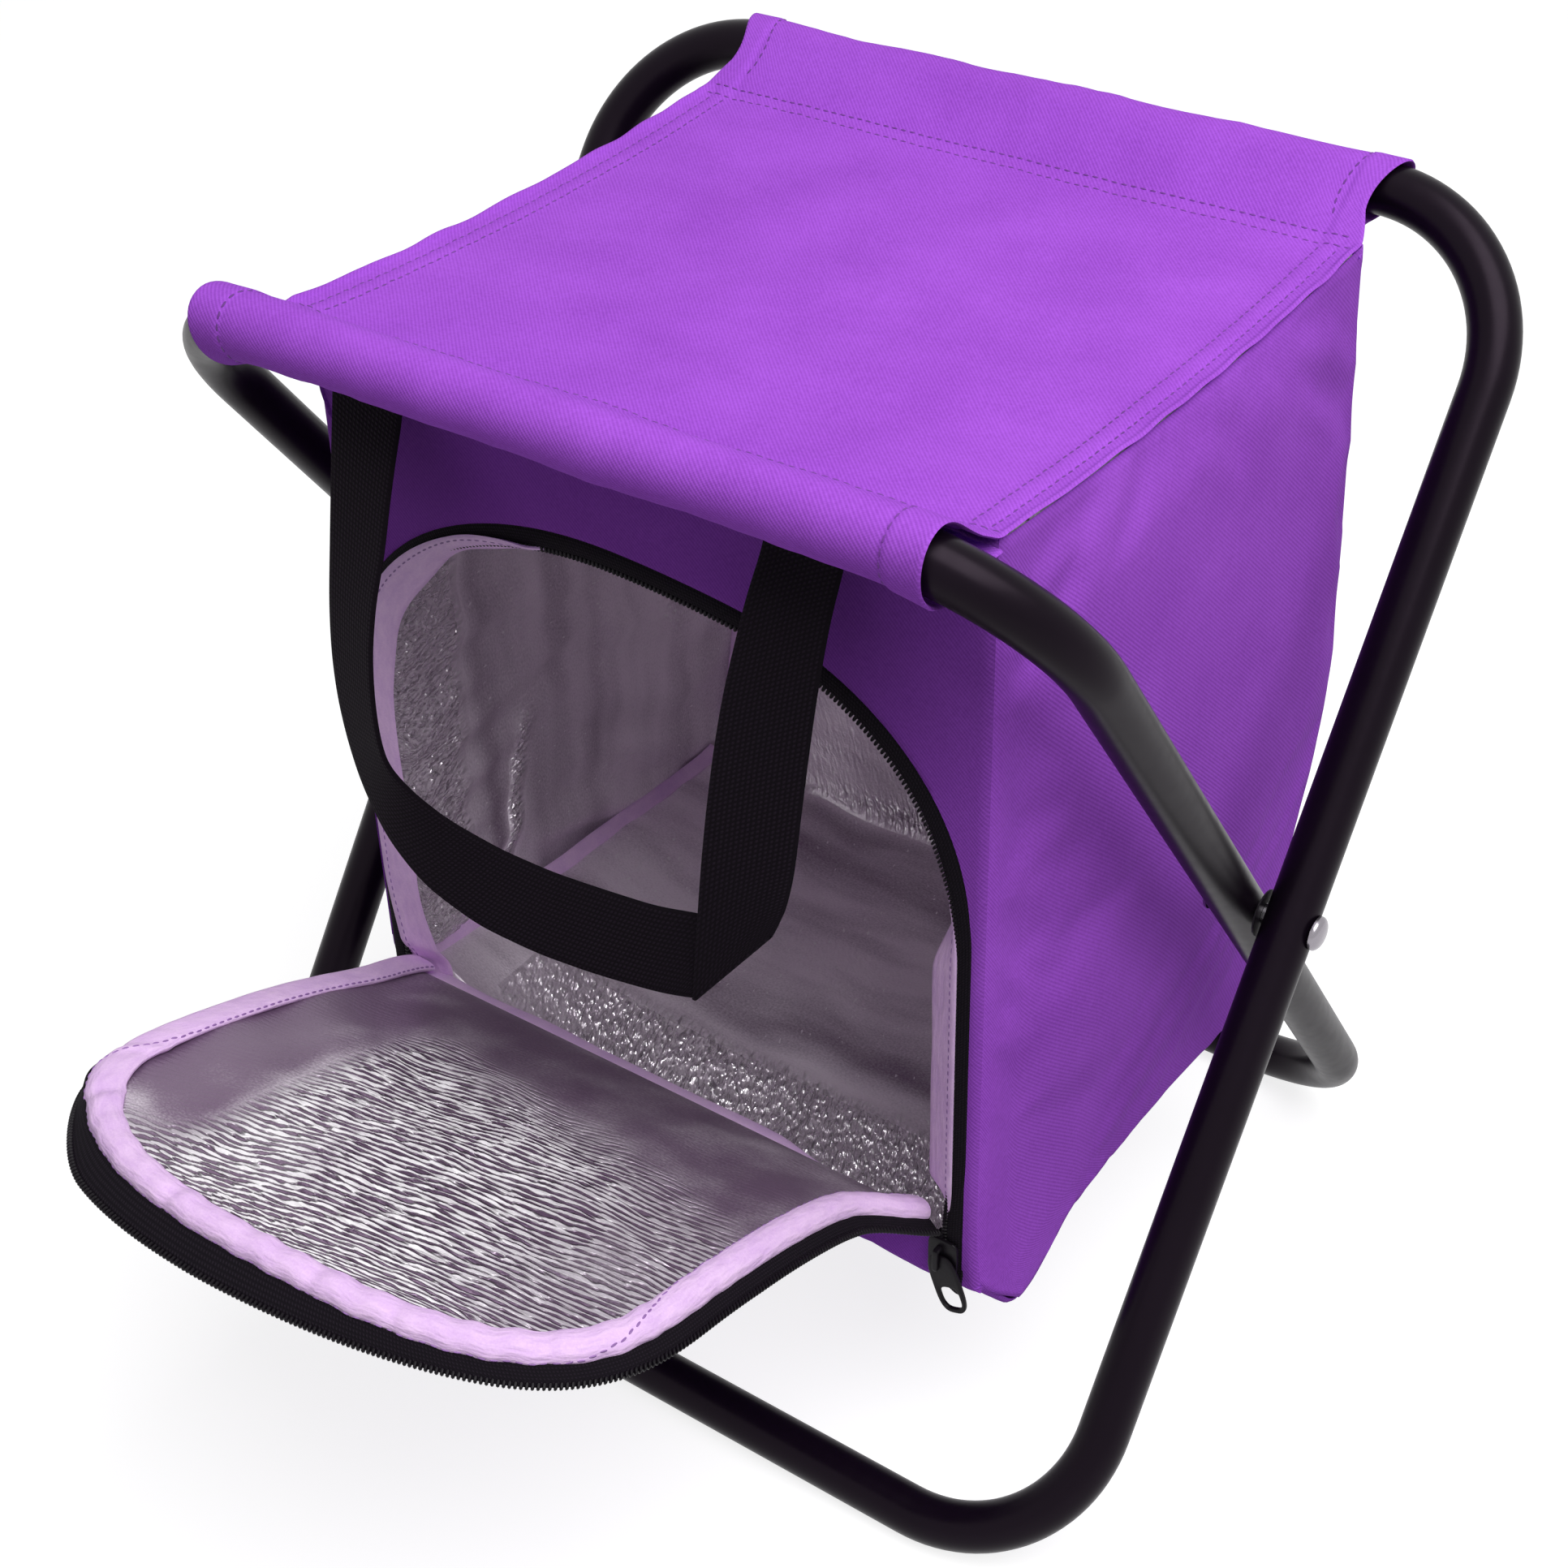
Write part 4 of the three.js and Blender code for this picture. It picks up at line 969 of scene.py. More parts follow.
def gusset(side, depth, across=76, up=92):
    """A side panel, from the front corner to the back one and from the base to the hem, set in by a depth."""
    a = np.linspace(0, 1, across)[:, None]
    r = np.linspace(0, 1, up)[None, :] ** 1.15
    y = -SEAM[0] + (back_wall(200) + SEAM[0]) * a + 0 * r
    for _ in range(4):
        foot = foot_height(y) + SEWN + depth
        z = foot + (seat_under(y) - 1.2 - depth - foot) * r
        low = np.clip((z - 66) / 20, 0, 1)
        front = -SEAM[0] + 16 * (1 - low) ** 1.25
        y = front + SEWN + depth + (back_wall(z) - front - 2 * (SEWN + depth)) * a
    near = [y - (front + depth), back_wall(z) - depth - y, z - foot_height(y) - depth]
    inset = np.minimum(sum(tuck_in(d) for d in near), CORNER)
    swell = 16 * 3.2 * r * (1 - r) * a * (1 - a)
    x = side * (half_width(side, y, z) - depth - inset + swell)
    return np.stack([x, y, z], -1)


def crowded(share):
    """Even shares from -1 to 1, moved closer together towards both ends."""
    return np.sign(share) * (1 - (1 - np.abs(share)) ** 1.3)


def edge_mask(points):
    mask = np.ones(points.shape[:2], bool)
    mask[1:-1, 1:-1] = False
    return mask


def folds(obj):
    """The piece moves with the seat frame, and gets its own copy of its mesh."""
    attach(obj, "seat_frame")
    spot(0, FRONT_Y + 3, 200)
    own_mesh(obj)


for side, word in ((-1, "left"), (1, "right")):
    plain = gusset(side, 0.0)
    outward = np.sign((slopes(plain)[..., 0] * side).sum())
    points = settle(plain, edge_mask(plain), 1.2 * outward, 0.008, 4.0, outward)
    z_down = np.clip((seat_under(points[..., 1]) - points[..., 2]) / 60, 0, 1)
    points[..., 0] += side * 0.3 * ripples(points[..., 2] * 0.15, points[..., 1], 34, 0.1, 30 + side) \
        * np.exp(-3 * z_down) * smooth_step(z_down, 0.02, 0.15)
    cloth = piece(f"bag_side_cloth_{word}", shell(points, outward * 1.0, flat=flat_pattern(points)), purple,
                  None, [f"bag_side_{word}"])
    folds(cloth)
    cut(points)


# %% Back and base
def wrap_line(depth, step=3.0):
    """The strip's section: from the front's foot under the base and up the back, as (y, z)."""
    keep = FOOT_CURVE[:, 0] < FOOT_Y - 5
    foot = FOOT_CURVE[keep] + [0, depth]
    foot[0, 0] += depth
    z = np.linspace(BASE_Z + 8, SEAM[1] - 1.5, 90)
    back = np.stack([back_wall(z) - depth, z], -1)
    return soften(resample(np.concatenate([foot, back]), step), 1)


def wrap_grid(depth, gap, columns_across=64):
    """The section carried across the bag, its edges tucked in to the sewn corners. Its foot bulges back."""
    line = wrap_line(depth)
    u = crowded(np.linspace(-1, 1, columns_across))
    tangent = unit(np.gradient(line, axis=0))
    inward = np.stack([-tangent[:, 1], tangent[:, 0]], -1)
    inset = tuck_in(BAG_HALF - (BAG_HALF - gap) * np.abs(u))
    flat_part = smooth_step(line[:, 0], -95, -60) * (1 - smooth_step(line[:, 1], 76, 110))
    yz = line[:, None] + inward[:, None] * inset[None, :, None]
    yz[..., 1] -= flat_part[:, None] * 2.2 * (1 - u ** 2)
    foot_bulge = 12 * smooth_step(line[:, 0], 20, 82) * hill(line[:, 1], 76, 55)
    yz[..., 0] += foot_bulge[:, None] * (1 - u ** 2) ** 0.8
    x = u * (half_width(u[None], *np.moveaxis(yz, -1, 0)) - gap)
    return np.concatenate([x[..., None], yz], -1)


plain = wrap_grid(0.0, SEWN)
outward = np.sign(slopes(plain)[-20, 32, 1])
points = settle(plain, edge_mask(plain), 1.0 * outward, 0.01, 4.0, outward)
cloth = piece("bag_wrap_cloth", shell(points, outward * 1.0), purple, None, ["bag_back", "bag_base"])
folds(cloth)
cut(points)

# %% [markdown]
# ## Front and its arched opening
# The front is cut out in an arch, and half of the zip is sewn round the cut: a black tape with a coil along its
# inner edge. Behind it a lilac tape covers the seam of the lining, and leans into the opening. A row of stations
# along the arch, each a point for any inset from the cut edge, carries all of these.

# %% Arch
ARCH_HALF = 114.0
ARCH_SPRING = 215.0
ARCH_RISE = 91.0
ARCH_POWER = 2.3
ZIP_FOOT = 88.4
HINGE_Z = 105.3
DEEPEST = 20.0
ZIP_Y = -99.6
TAPE_THICK = 0.9


def arch_line(inset, foot=ZIP_FOOT, steps=400):
    """Legs and a flattened half round over them, evenly spaced, from the right foot to the left one, as (x, z)."""
    turn = np.linspace(0, math.pi, 900)
    power = 2 / ARCH_POWER
    cap_x = np.sign(np.cos(turn)) * np.abs(np.cos(turn)) ** power * (ARCH_HALF - inset)
    cap_z = ARCH_SPRING + np.sin(turn) ** power * (ARCH_RISE - inset) - 2.0 * hill(cap_x, 25, 32)
    legs = np.array([[ARCH_HALF - inset, foot]]), np.array([[inset - ARCH_HALF, foot]])
    line = np.concatenate([legs[0], np.stack([cap_x, cap_z], -1), legs[1]])
    return evenly(line, steps)


def inset_points(insets, foot, steps):
    """Each station's points at its insets from the cut edge, as (x, z)."""
    outer, inner = arch_line(0.0, foot, steps), arch_line(DEEPEST, foot, steps)
    return outer[:, None] + (inner - outer)[:, None] * (insets / DEEPEST)[..., None]


def band(insets, ys, foot=ZIP_FOOT, steps=400):
    """A strip along the arch: each column has its own inset and its own y."""
    xz = inset_points(np.asarray(insets, float)[None], foot, steps)
    y = np.broadcast_to(np.asarray(ys, float)[None, :], xz.shape[:2])
    return np.stack([xz[..., 0], y, xz[..., 1]], -1)


def face_front(points):
    """1 or -1, so that the thickness goes away from the viewer of the front."""
    return 1.0 if slopes(points)[..., 1].sum() < 0 else -1.0


# %% Front cloth
def round_front(half, low, top, steps):
    """Points up the right side, over the top and down the left side, as wide as the bag bulges there."""
    corners = np.array([[half, low], [half, top], [-half, top], [-half, low]])
    outer = at_runs(np.linspace(0, 1, steps), [0, 0.335, 0.665, 1.0], corners)
    outer[:, 0] *= half_width(outer[:, 0], FRONT_Y, outer[:, 1]) / BAG_HALF
    return outer


def front_grid(steps=400, across=16):
    """Rays from the arch's cut edge out to the front's own edge, where it turns in to the corner."""
    inner = arch_line(-0.6, ZIP_FOOT, steps)
    outer = round_front(BAG_HALF - SEWN, ZIP_FOOT - 4, SEAM[1] - 1.2, steps)
    out = (np.linspace(0, 1, across) ** 1.2)[None, :, None]
    xz = inner[:, None] + (outer - inner)[:, None] * out
    inset = tuck_in(half_width(xz[..., 0], FRONT_Y, xz[..., 1]) - np.abs(xz[..., 0]))
    dent = (0.9 * ripples(xz[..., 0], xz[..., 1], 75, 1.0, 41, 10) - 0.7) * smooth_step(out[..., 0], 0, 0.5) \
        * smooth_step(BAG_HALF - np.abs(xz[..., 0]), 0, 25) * smooth_step(SEAM[1] - xz[..., 1], 2, 20)
    return np.stack([xz[..., 0], FRONT_Y + inset + dent, xz[..., 1]], -1)


points = front_grid()
front_cloth = shell(points, face_front(points), flat=points[..., [0, 2]])


def lower_front(rows=26, columns_across=60):
    """The strip below the opening: a tab behind the flap's hinge, and the turn into the base."""
    z = np.concatenate([np.linspace(HINGE_Z - 1.2, ZIP_FOOT + 0.2, 9), np.linspace(ZIP_FOOT - 0.4, 85.2, 7)])
    x = crowded(np.linspace(-1, 1, columns_across)[None])
    whole = half_width(x, FRONT_Y, z[:, None])
    grid_x = np.where(z[:, None] > ZIP_FOOT, 104.0, whole - SEWN) * x
    inset = tuck_in(whole - np.abs(grid_x))
    return np.stack([grid_x, FRONT_Y + inset + 0 * grid_x, np.broadcast_to(z[:, None], grid_x.shape)], -1)


points = lower_front()
tab = shell(points, face_front(points), flat=points[..., [0, 2]])
piece("bag_front_cloth", join(front_cloth, tab), shaded_front, "seat_frame", ["bag_front"])

# %% Zip tape on the bag, and its teeth
def pushed_out(x, z):
    """1 on the straight right leg above the slider, where the zip lies further out under the lilac tape."""
    return smooth_step(x, 60, 90) * smooth_step(z, 104, 140) * (1 - smooth_step(z, 214, 250))


insets = np.linspace(-0.4, 6.2, 10)
points = band(insets, ZIP_Y - 0.9 * np.sin(np.linspace(0, math.pi, 10)) ** 0.6 + 0.8 * (insets > 5))
points[..., 0] += 1.2 * pushed_out(points[..., 0], points[..., 2])
tail_line = resample(np.array([[-100.2, 92.0], [-100.8, 87.0], [-100.0, 82.0], [-97.5, 77.5]]), 1.0)
tail_share = np.linspace(0, 1, len(tail_line))
tail_across = np.linspace(0, 1, 7)
tail_x = (107.5 + 3.5 * tail_share)[:, None] * (1 - tail_across) + (114.8 - 0.8 * tail_share)[:, None] * tail_across
tail = np.stack([tail_x, *np.broadcast_arrays(tail_line[:, :1], tail_line[:, 1:], tail_x)[:2]], -1)
tape = join(*(shell(part, face_front(part) * TAPE_THICK) for part in (points, tail)))
piece("bag_zip_tape_cloth", tape, tape_black, "seat_frame", ["bag_zip_tape"])

COIL_PITCH = 1.45
COIL_SIZE = np.array([0.56, 1.2, 0.92])


def coil(line, out):
    """A zip's coil: one small loop of nylon at each pitch, as a bead that is narrow along the zip."""
    run = run_of(line)
    at = np.arange(COIL_PITCH / 2, run[-1], COIL_PITCH)
    forward = unit(at_runs(at, run, np.gradient(line, axis=0)))
    across = unit(at_runs(at, run, out))
    axes = np.stack([forward, across, unit(np.cross(forward, across))], 1)
    return scatter(bead(COIL_SIZE, 0.75, 6, 8), at_runs(at, run, line), axes)


teeth_line = band([5.7], [ZIP_Y], ZIP_FOOT + 1)[:, 0]
teeth_out = band([6.7], [ZIP_Y], ZIP_FOOT + 1)[:, 0] - teeth_line
teeth_line[:, 0] += 2.4 * pushed_out(teeth_line[:, 0], teeth_line[:, 2])
piece("bag_zip_coil", coil(teeth_line, teeth_out), nylon, "seat_frame", ["bag_zip_teeth"])


# %% Lilac tape round the opening
def opening_tape(steps=400, across=9):
    """A band that leans into the opening, in front of the coil on the left and right and behind it over the top."""
    line = arch_line(8.0, ZIP_FOOT + 2, steps)
    x, z = line[:, 0], line[:, 1]
    right = smooth_step(x, 40, 90) * smooth_step(z, 98, 124) * (1 - smooth_step(z, 206, 236))
    shown = 12.4 * (1 - 0.5 * smooth_step(x, -104, -60)) * (1 - smooth_step(x, -58, -6)) + 10.4 * right
    left = (1 - smooth_step(x, -62, -20)) * smooth_step(z, 105, 150)
    wave = 0.35 * ripples(np.arange(steps) * 0.0, np.arange(steps) * 1.5, 55, 0.0, 61)
    back = np.sqrt(np.maximum(13.0 ** 2 - shown ** 2, 4)) * (1 - 0.3 * right) * (1 - 0.6 * left)
    share = np.linspace(0, 1, across)
    inset = (6.8 - 4.4 * left - 3.0 * right)[:, None] + (shown + wave)[:, None] * share[None]
    proud = 3.8 * smooth_step(left, 0.0, 0.3) + 2.9 * right
    y = -98.3 - proud[:, None] + back[:, None] * share[None] ** (1 + left[:, None]) + wave[:, None] * share[None]
    xz = inset_points(inset, ZIP_FOOT + 2, steps)
    return np.stack([xz[..., 0], y, xz[..., 1]], -1)


points = opening_tape()
tape_wall = face_front(points)
piece("opening_tape", shell(points, tape_wall), lilac, "seat_frame", ["opening_binding"])
tape_normal = slopes(points) * tape_wall
piece("opening_stitches", stitch_row(points[:, 1] * 0.6 + points[:, 2] * 0.4, tape_normal[:, 2], 3.0, 2.0, 0.35),
      thread_lilac, "seat_frame")

# %% [markdown]
# ## Lining
# The bag is lined with thin foam under metal film. The film is creased all over: fine short crests, with broad soft
# dents where the foam gives. Crests that can be felt are real geometry, a sum of random waves, and each point keeps
# how creased its place is, so that the finish can add the finest ones; below zero, the same value is painted shade.
# The film is creased hardest at the front, and the finish paints its crests pale, as painted highlights for glints.
# The foam's outer face stays flat on the cloth, and only the film moves.

# %% Creases
LINING_OUT, LINING_IN = 1.4, 4.3
FOAM = LINING_IN - LINING_OUT
GAP_OUT, GAP_IN = 1.8, 4.8
CORNER_LIFT, CORNER_PULL = 6, 4


def creased(points, sign, amount, seed, wavelength=3.6, spread=1.2, depth=0.45, dents=1.1, dent_size=46, dent_turn=1.5):
    """Pushes a grid along its normals: fine waves where the amount is high, and broad dents that fade at the edges."""
    flat = flat_pattern(points)
    u, v = flat[..., 0], flat[..., 1]
    fine = ripples(u, v, wavelength, spread, seed, 44) * amount * depth
    broad = ripples(u, v, dent_size, dent_turn, seed + 1, 14) * dents
    edge = np.clip(np.minimum(np.minimum(u, u.max() - u), np.minimum(v, v.max() - v)) / 12, 0, 1)
    push = np.clip(fine + broad * edge, 1.1 - FOAM, 3.0)
    return points + slopes(points) * (sign * push)[..., None]


def patchy(points, base, seed):
    """A base amount of creasing, which slow waves raise and lower from place to place."""
    flat = flat_pattern(points)
    return np.clip(base + 0.3 * ripples(flat[..., 0], flat[..., 1], 60, 1.5, seed, 12), 0.04, 1)


def resized(points, rows, columns_across):
    """The same surface with more points: straight steps between the old ones."""
    old_rows, old_columns = points.shape[:2]
    r = np.linspace(0, old_rows - 1, rows)
    c = np.linspace(0, old_columns - 1, columns_across)
    low_r, low_c = np.minimum(r.astype(int), old_rows - 2), np.minimum(c.astype(int), old_columns - 2)
    part_r, part_c = (r - low_r)[:, None, None], (c - low_c)[None, :, None]
    by_row = points[low_r] * (1 - part_r) + points[low_r + 1] * part_r
    return by_row[:, low_c] * (1 - part_c) + by_row[:, low_c + 1] * part_c


def lining(name, node, inner, outer, inward, mark, seed, finish, **shape):
    """Foam between two grids. The inner one is the film, which is creased where its mark is above zero and gets painted
    shade where it is below.
    """
    film = creased(inner, inward, np.maximum(mark, 0), seed, **shape)
    patch = shell(film, 0, values=mark, back=outer, flat=flat_pattern(inner))
    foam = piece(name, patch, finish, None, node)
    folds(foam)


def left_rise(x, y):
    """How far the floor climbs at its left edge, most near the front."""
    return (14 + 14 * (1 - smooth_step(y, -88, -5))) * smooth_step(-x, 45, 112)


# %% Foil of the sides
for side, word in ((-1, "left"), (1, "right")):
    inner, outer = (resized(gusset(side, depth), 150, 210) for depth in (LINING_IN, LINING_OUT))
    inward = -np.sign((slopes(inner)[..., 0] * side).sum())
    y, z = inner[..., 1], inner[..., 2]
    # The front band is creased hardest, and its pale crests are painted highlights.
    near_front = 1 - smooth_step(y - 0.09 * (z - 200), -54, -46)
    bunch = hill(y, -20 - 0.3 * (165 - z), 4) * (1 - smooth_step(z, 156, 172))
    creases = 0.85 * near_front + 0.95 * bunch + 0.35 * hill(y, 27, 14) * hill(z, 112, 15) \
        + 0.5 * smooth_step(y, 45, 70) * smooth_step(z, 140, 165)
    # Painted reflections and painted shade: light and dark are bright and dark streaks painted into the film, which is
    # also painted darker towards the bottom.
    light = 0.22 * (hill(y, -19, 11) * smooth_step(z, 172, 196) + hill(y, 24, 8) * smooth_step(z, 138, 160))
    dark = 0.6 * hill(y, -39, 7) + 0.4 * hill(y, 3, 9) + 0.25 * (1 - smooth_step(z, 120, 160))
    mark = np.clip(creases + light - dark * (1 - np.clip(creases * 1.4, 0, 1)) * (1 - light * 3), -1, 1)
    lining(f"side_foil_{word}", [f"lining_side_{word}"], inner, outer, inward, mark, 70 + side, side_foil,
           dents=1.3, dent_size=24, dent_turn=0.35, spread=0.6, depth=0.4, wavelength=3.2)

# %% Foil of the back and base
inner, outer = (resized(wrap_grid(depth, gap), 260, 150)
                for depth, gap in ((LINING_IN, GAP_IN), (LINING_OUT, GAP_OUT)))
for grid, gap in ((inner, GAP_IN), (outer, GAP_OUT)):
    in_corner = smooth_step(grid[..., 0], 92, 112) * (1 - smooth_step(grid[..., 1], -90, -72)) \
        * (1 - smooth_step(grid[..., 2], 84, 104))
    grid[..., 2] += CORNER_LIFT * in_corner
    grid[..., 0] -= CORNER_PULL * in_corner
    on_floor = smooth_step(grid[..., 1], -97, -88) * (1 - smooth_step(grid[..., 2], 84, 104))
    grid[..., 2] += left_rise(grid[..., 0], grid[..., 1]) * on_floor
    grid[..., 0] = np.maximum(grid[..., 0], gap - half_width(-1, grid[..., 1], grid[..., 2]))
x, y, z = np.moveaxis(inner, -1, 0)
on_floor = smooth_step(y, -97, -88) * (1 - smooth_step(z - left_rise(x, y), 84, 104))
inward = -np.sign(slopes(inner)[-20, 75, 1])
# The floor's front band is creased hardest, and its pale crests are painted highlights.
near_front = (1 - smooth_step(y, -46, -35)) * (z < 90) * (0.45 + 0.55 * smooth_step(x, -90, -55))
fold = hill(y, 98, 7) * hill(z, 78, 6)
creases = 0.95 * near_front + 0.8 * fold + 0.3 * smooth_step(z, 180, 240)
# Painted shade and painted light: dark is a band across the floor and the floor's back part, light the back wall and a
# band across the floor's middle.
dark = 0.75 * hill(y, -22, 9) * on_floor + 0.55 * smooth_step(y, 40, 62) * (1 - smooth_step(z, 77, 81))
light = 0.12 * smooth_step(z, 84, 92) * (y > 0) + 0.1 * hill(y, 12, 22) * on_floor
mark = np.clip(creases + light - dark * (1 - np.clip(creases * 1.4, 0, 1)), -1, 1)
lining("wrap_foil", ["lining_back", "lining_base"], inner, outer, inward, mark, 82, floor_foil, spread=0.9, depth=0.62,
       wavelength=3.4)


# %% Foil of the lid and front
def lid_grid(depth):
    """The foil under the seat, which follows the seat's sag."""
    x, y = np.meshgrid(np.linspace(-115, 115, 90), np.linspace(-94.5, 94.5, 80), indexing="ij")
    return np.stack([x * half_width(x, y, 330.0) / BAG_HALF, y, seat_under(y) - depth], -1)


inner, outer = lid_grid(6.2), lid_grid(3.4)
lining("lid_foil", ["lining_lid"], inner, outer, -np.sign(slopes(inner)[30, 30, 2]),
       patchy(inner, 0.4, 85), 86, floor_foil)


def front_lining_grid(depth, steps=300, across=22):
    """The foil behind the front cloth: rays from the arch out to the lining's own corners."""
    inner = arch_line(1.0, ZIP_FOOT, steps)
    outer = round_front(115, ZIP_FOOT - 1, SEAM[1] - 8, steps)
    xz = inner[:, None] + (outer - inner)[:, None] * np.linspace(0, 1, across)[None, :, None]
    return np.stack([xz[..., 0], np.full(xz.shape[:2], FRONT_Y + depth), xz[..., 1]], -1)


inner, outer = front_lining_grid(LINING_IN), front_lining_grid(LINING_OUT)
lining("front_foil", ["lining_front"], inner, outer, -face_front(inner), np.full(inner.shape[:2], 0.4), 88, side_foil,
       dents=0.3, depth=0.25)


# %% Bindings of the inner seams
def rolled(half_width, half_height, sides=14):
    """A flattened round section."""
    turn = np.linspace(0, TAU, sides, endpoint=False)
    return np.stack([half_width * np.sign(np.cos(turn)) * np.abs(np.cos(turn)) ** 0.7,
                     half_height * np.sin(turn)], -1)


def corner_roll(line, side):
    """A flat tape folded over a seam, which stands in the corner of the bag at 45 degrees."""
    path = soften(resample(line, 2.0), 2)
    forward = unit(np.gradient(path, axis=0))
    wall = np.tile([float(side), 0.0, 0.0], (len(path), 1))
    floor_way = unit(np.cross(forward, wall))
    across = unit(wall + floor_way)
    lift = unit(np.cross(forward, across))
    path = path + 0.25 * ripples(np.arange(len(path)) * 0.0, np.arange(len(path)) * 2.0, 22, 0.0, 90)[:, None] * lift
    return sweep(path, across, lift, rolled(2.9, 0.9))


inner_line = wrap_line(LINING_IN, 2.0)
corner_row = np.argmin(np.abs(inner_line[:, 0] - (FOOT_Y - 6)) + np.abs(inner_line[:, 1] - 78))
for side, word in ((-1, "left"), (1, "right")):
    base_part = inner_line[(np.arange(len(inner_line)) > 6) & (np.arange(len(inner_line)) <= corner_row)]
    back_part = inner_line[(np.arange(len(inner_line)) >= corner_row) & (inner_line[:, 1] < SEAM[1] - 9)]
    rise = left_rise(side * 112.0, base_part[:, 0])
    base_line = np.stack([side * (half_width(side, *base_part.T) - 6.8), base_part[:, 0],
                          base_part[:, 1] + 1.6 + rise], -1)
    back_part = back_part[back_part[:, 1] > base_line[-1, 2] - 3]
    back_line = np.stack([side * (half_width(side, *back_part.T) - 6.8), back_part[:, 0] - 1.6, back_part[:, 1]], -1)
    folds(piece(f"base_roll_{word}", corner_roll(base_line, side), lilac, None,
                [f"base_binding_{word}"]))
    folds(piece(f"back_roll_{word}", corner_roll(back_line, side), lilac, None,
                [f"back_binding_{word}"]))

# %% [markdown]
# ## Flap
# The flap is a padded panel: purple cloth outside, foil over foam inside, and a lilac tape folded over its edge,
# with the zip's other half sewn on outside that. It stands up from its hinge and arches over, because the foam is
# stiff. Its creases run across it, close together where it bends most. A point of the flap has a distance across,
# a run from the hinge along the cloth, and a lift off the cloth's lower face.

# %% Shape of the flap
FLAP_HALF = 105.0
FLAP_LENGTH = 197.5
FLAP_ROUND = 68.0
FLAP_POWER = 2.64
FLAP_RISE = math.radians(37.9)
FLAP_BOW = 345.0
FLAP_TURN = -0.042


def flap_point(x, run, lift):
    """Heading falls evenly with the run. The tip is also turned a little sideways, and its corners droop."""
    heading = FLAP_RISE - run / FLAP_BOW
    y = FLAP_BOW * (np.sin(heading) - math.sin(FLAP_RISE)) + lift * np.sin(heading)
    z = FLAP_BOW * (np.cos(heading) - math.cos(FLAP_RISE)) + lift * np.cos(heading)
    free = smooth_step(run, 0, 60)
    x = x + np.sign(x) * 8 * smooth_step(np.abs(x), 62, 98) * (1 - smooth_step(run, 0, 42))
    droop = -3.17 * (x / 100) ** 2 * np.minimum(run / 100, 1) - 1.57e-4 * x * run
    return np.stack(np.broadcast_arrays(x - 2.5 * free + y * math.sin(FLAP_TURN) * free,
                                        FRONT_Y + y - x * math.sin(FLAP_TURN) * free,
                                        HINGE_Z + z + droop), -1)


def leftness(x, run):
    """1 on the left edge short of the tip, where the zip's tape is turned under and the lilac tape is the edge."""
    return smooth_step(-x, 35, 80) * (1 - smooth_step(run, 158, 188))


def flap_outline(inset, start=4.0, steps=360):
    """Legs and a rounded tip, evenly spaced, from the right root to the left one, as (x, run)."""
    turn = np.linspace(0, math.pi, 900)
    power = 2 / FLAP_POWER
    half, rise = FLAP_HALF - inset, FLAP_ROUND - inset
    tip = np.stack([np.sign(np.cos(turn)) * np.abs(np.cos(turn)) ** power * half,
                    FLAP_LENGTH - FLAP_ROUND + np.sin(turn) ** power * rise], -1)
    line = np.concatenate([[[half, start]], tip, [[-half, start]]])
    return evenly(line, steps)


def flap_band(insets, lifts, start=4.0, steps=360):
    """A strip round the flap: each column has its own inset and lift."""
    outer, inner = flap_outline(0.0, start, steps), flap_outline(24.0, start, steps)
    at = outer[:, None] + (inner - outer)[:, None] * (np.asarray(insets) / 24)[..., None]
    swell = 6.0 * leftness(outer[:, :1], outer[:, 1:])
    return flap_point(at[..., 0] - swell, at[..., 1], np.asarray(lifts))


def flap_panel(inset, lift, rows, columns_across, start=3.0):
    """Rows across the flap, each as wide as the outline is there."""
    outline = flap_outline(inset, start, 2000)
    right = outline[:1000]
    end = right[:, 1].max()
    run = start + (end - start) * (1 - (1 - np.linspace(0, 1, rows)) ** 1.25)
    half = np.interp(run, right[:, 1], right[:, 0])
    left = 6.0 * leftness(-half, run)
    share = np.linspace(0, 1, columns_across)[None]
    x = -(half + left)[:, None] * (1 - share) + half[:, None] * share
    return x, np.broadcast_to(run[:, None], x.shape), flap_point(x, run[:, None], lift)


def face_up(points):
    return 1.0 if slopes(points)[..., 2].sum() > 0 else -1.0


# %% Flap cloth and foil
_, _, points = flap_panel(11.5, 0.9, 110, 60)
flap_cloth = piece("flap_cloth", shell(points, face_up(points) * 0.9), shaded_underside, "flap",
                   ["flap_panel"])
cut(points)

x, run, plain = flap_panel(15.5, 4.2, 330, 120, 6.0)
_, _, foam_back = flap_panel(15.5, 1.0, 330, 120, 6.0)
up = face_up(plain)
away = smooth_step(run - 0.25 * x, 52, 92)
left_strip = smooth_step(-x, 40, 62) * (1 - smooth_step(run, 140, 182))
slow = ripples(x, run, 45, 1.4, 102, 12)
# The film is less creased towards the right, so fewer of its pale crests, which are painted highlights, show there.
smoother_right = smooth_step(x, 25, 70) * smooth_step(run, 60, 110) * 0.45
mark = np.clip(away * (1 - smoother_right) * (1 - left_strip) - 0.15 * smooth_step(slow, 0.5, 1.4), 0.03, 1)
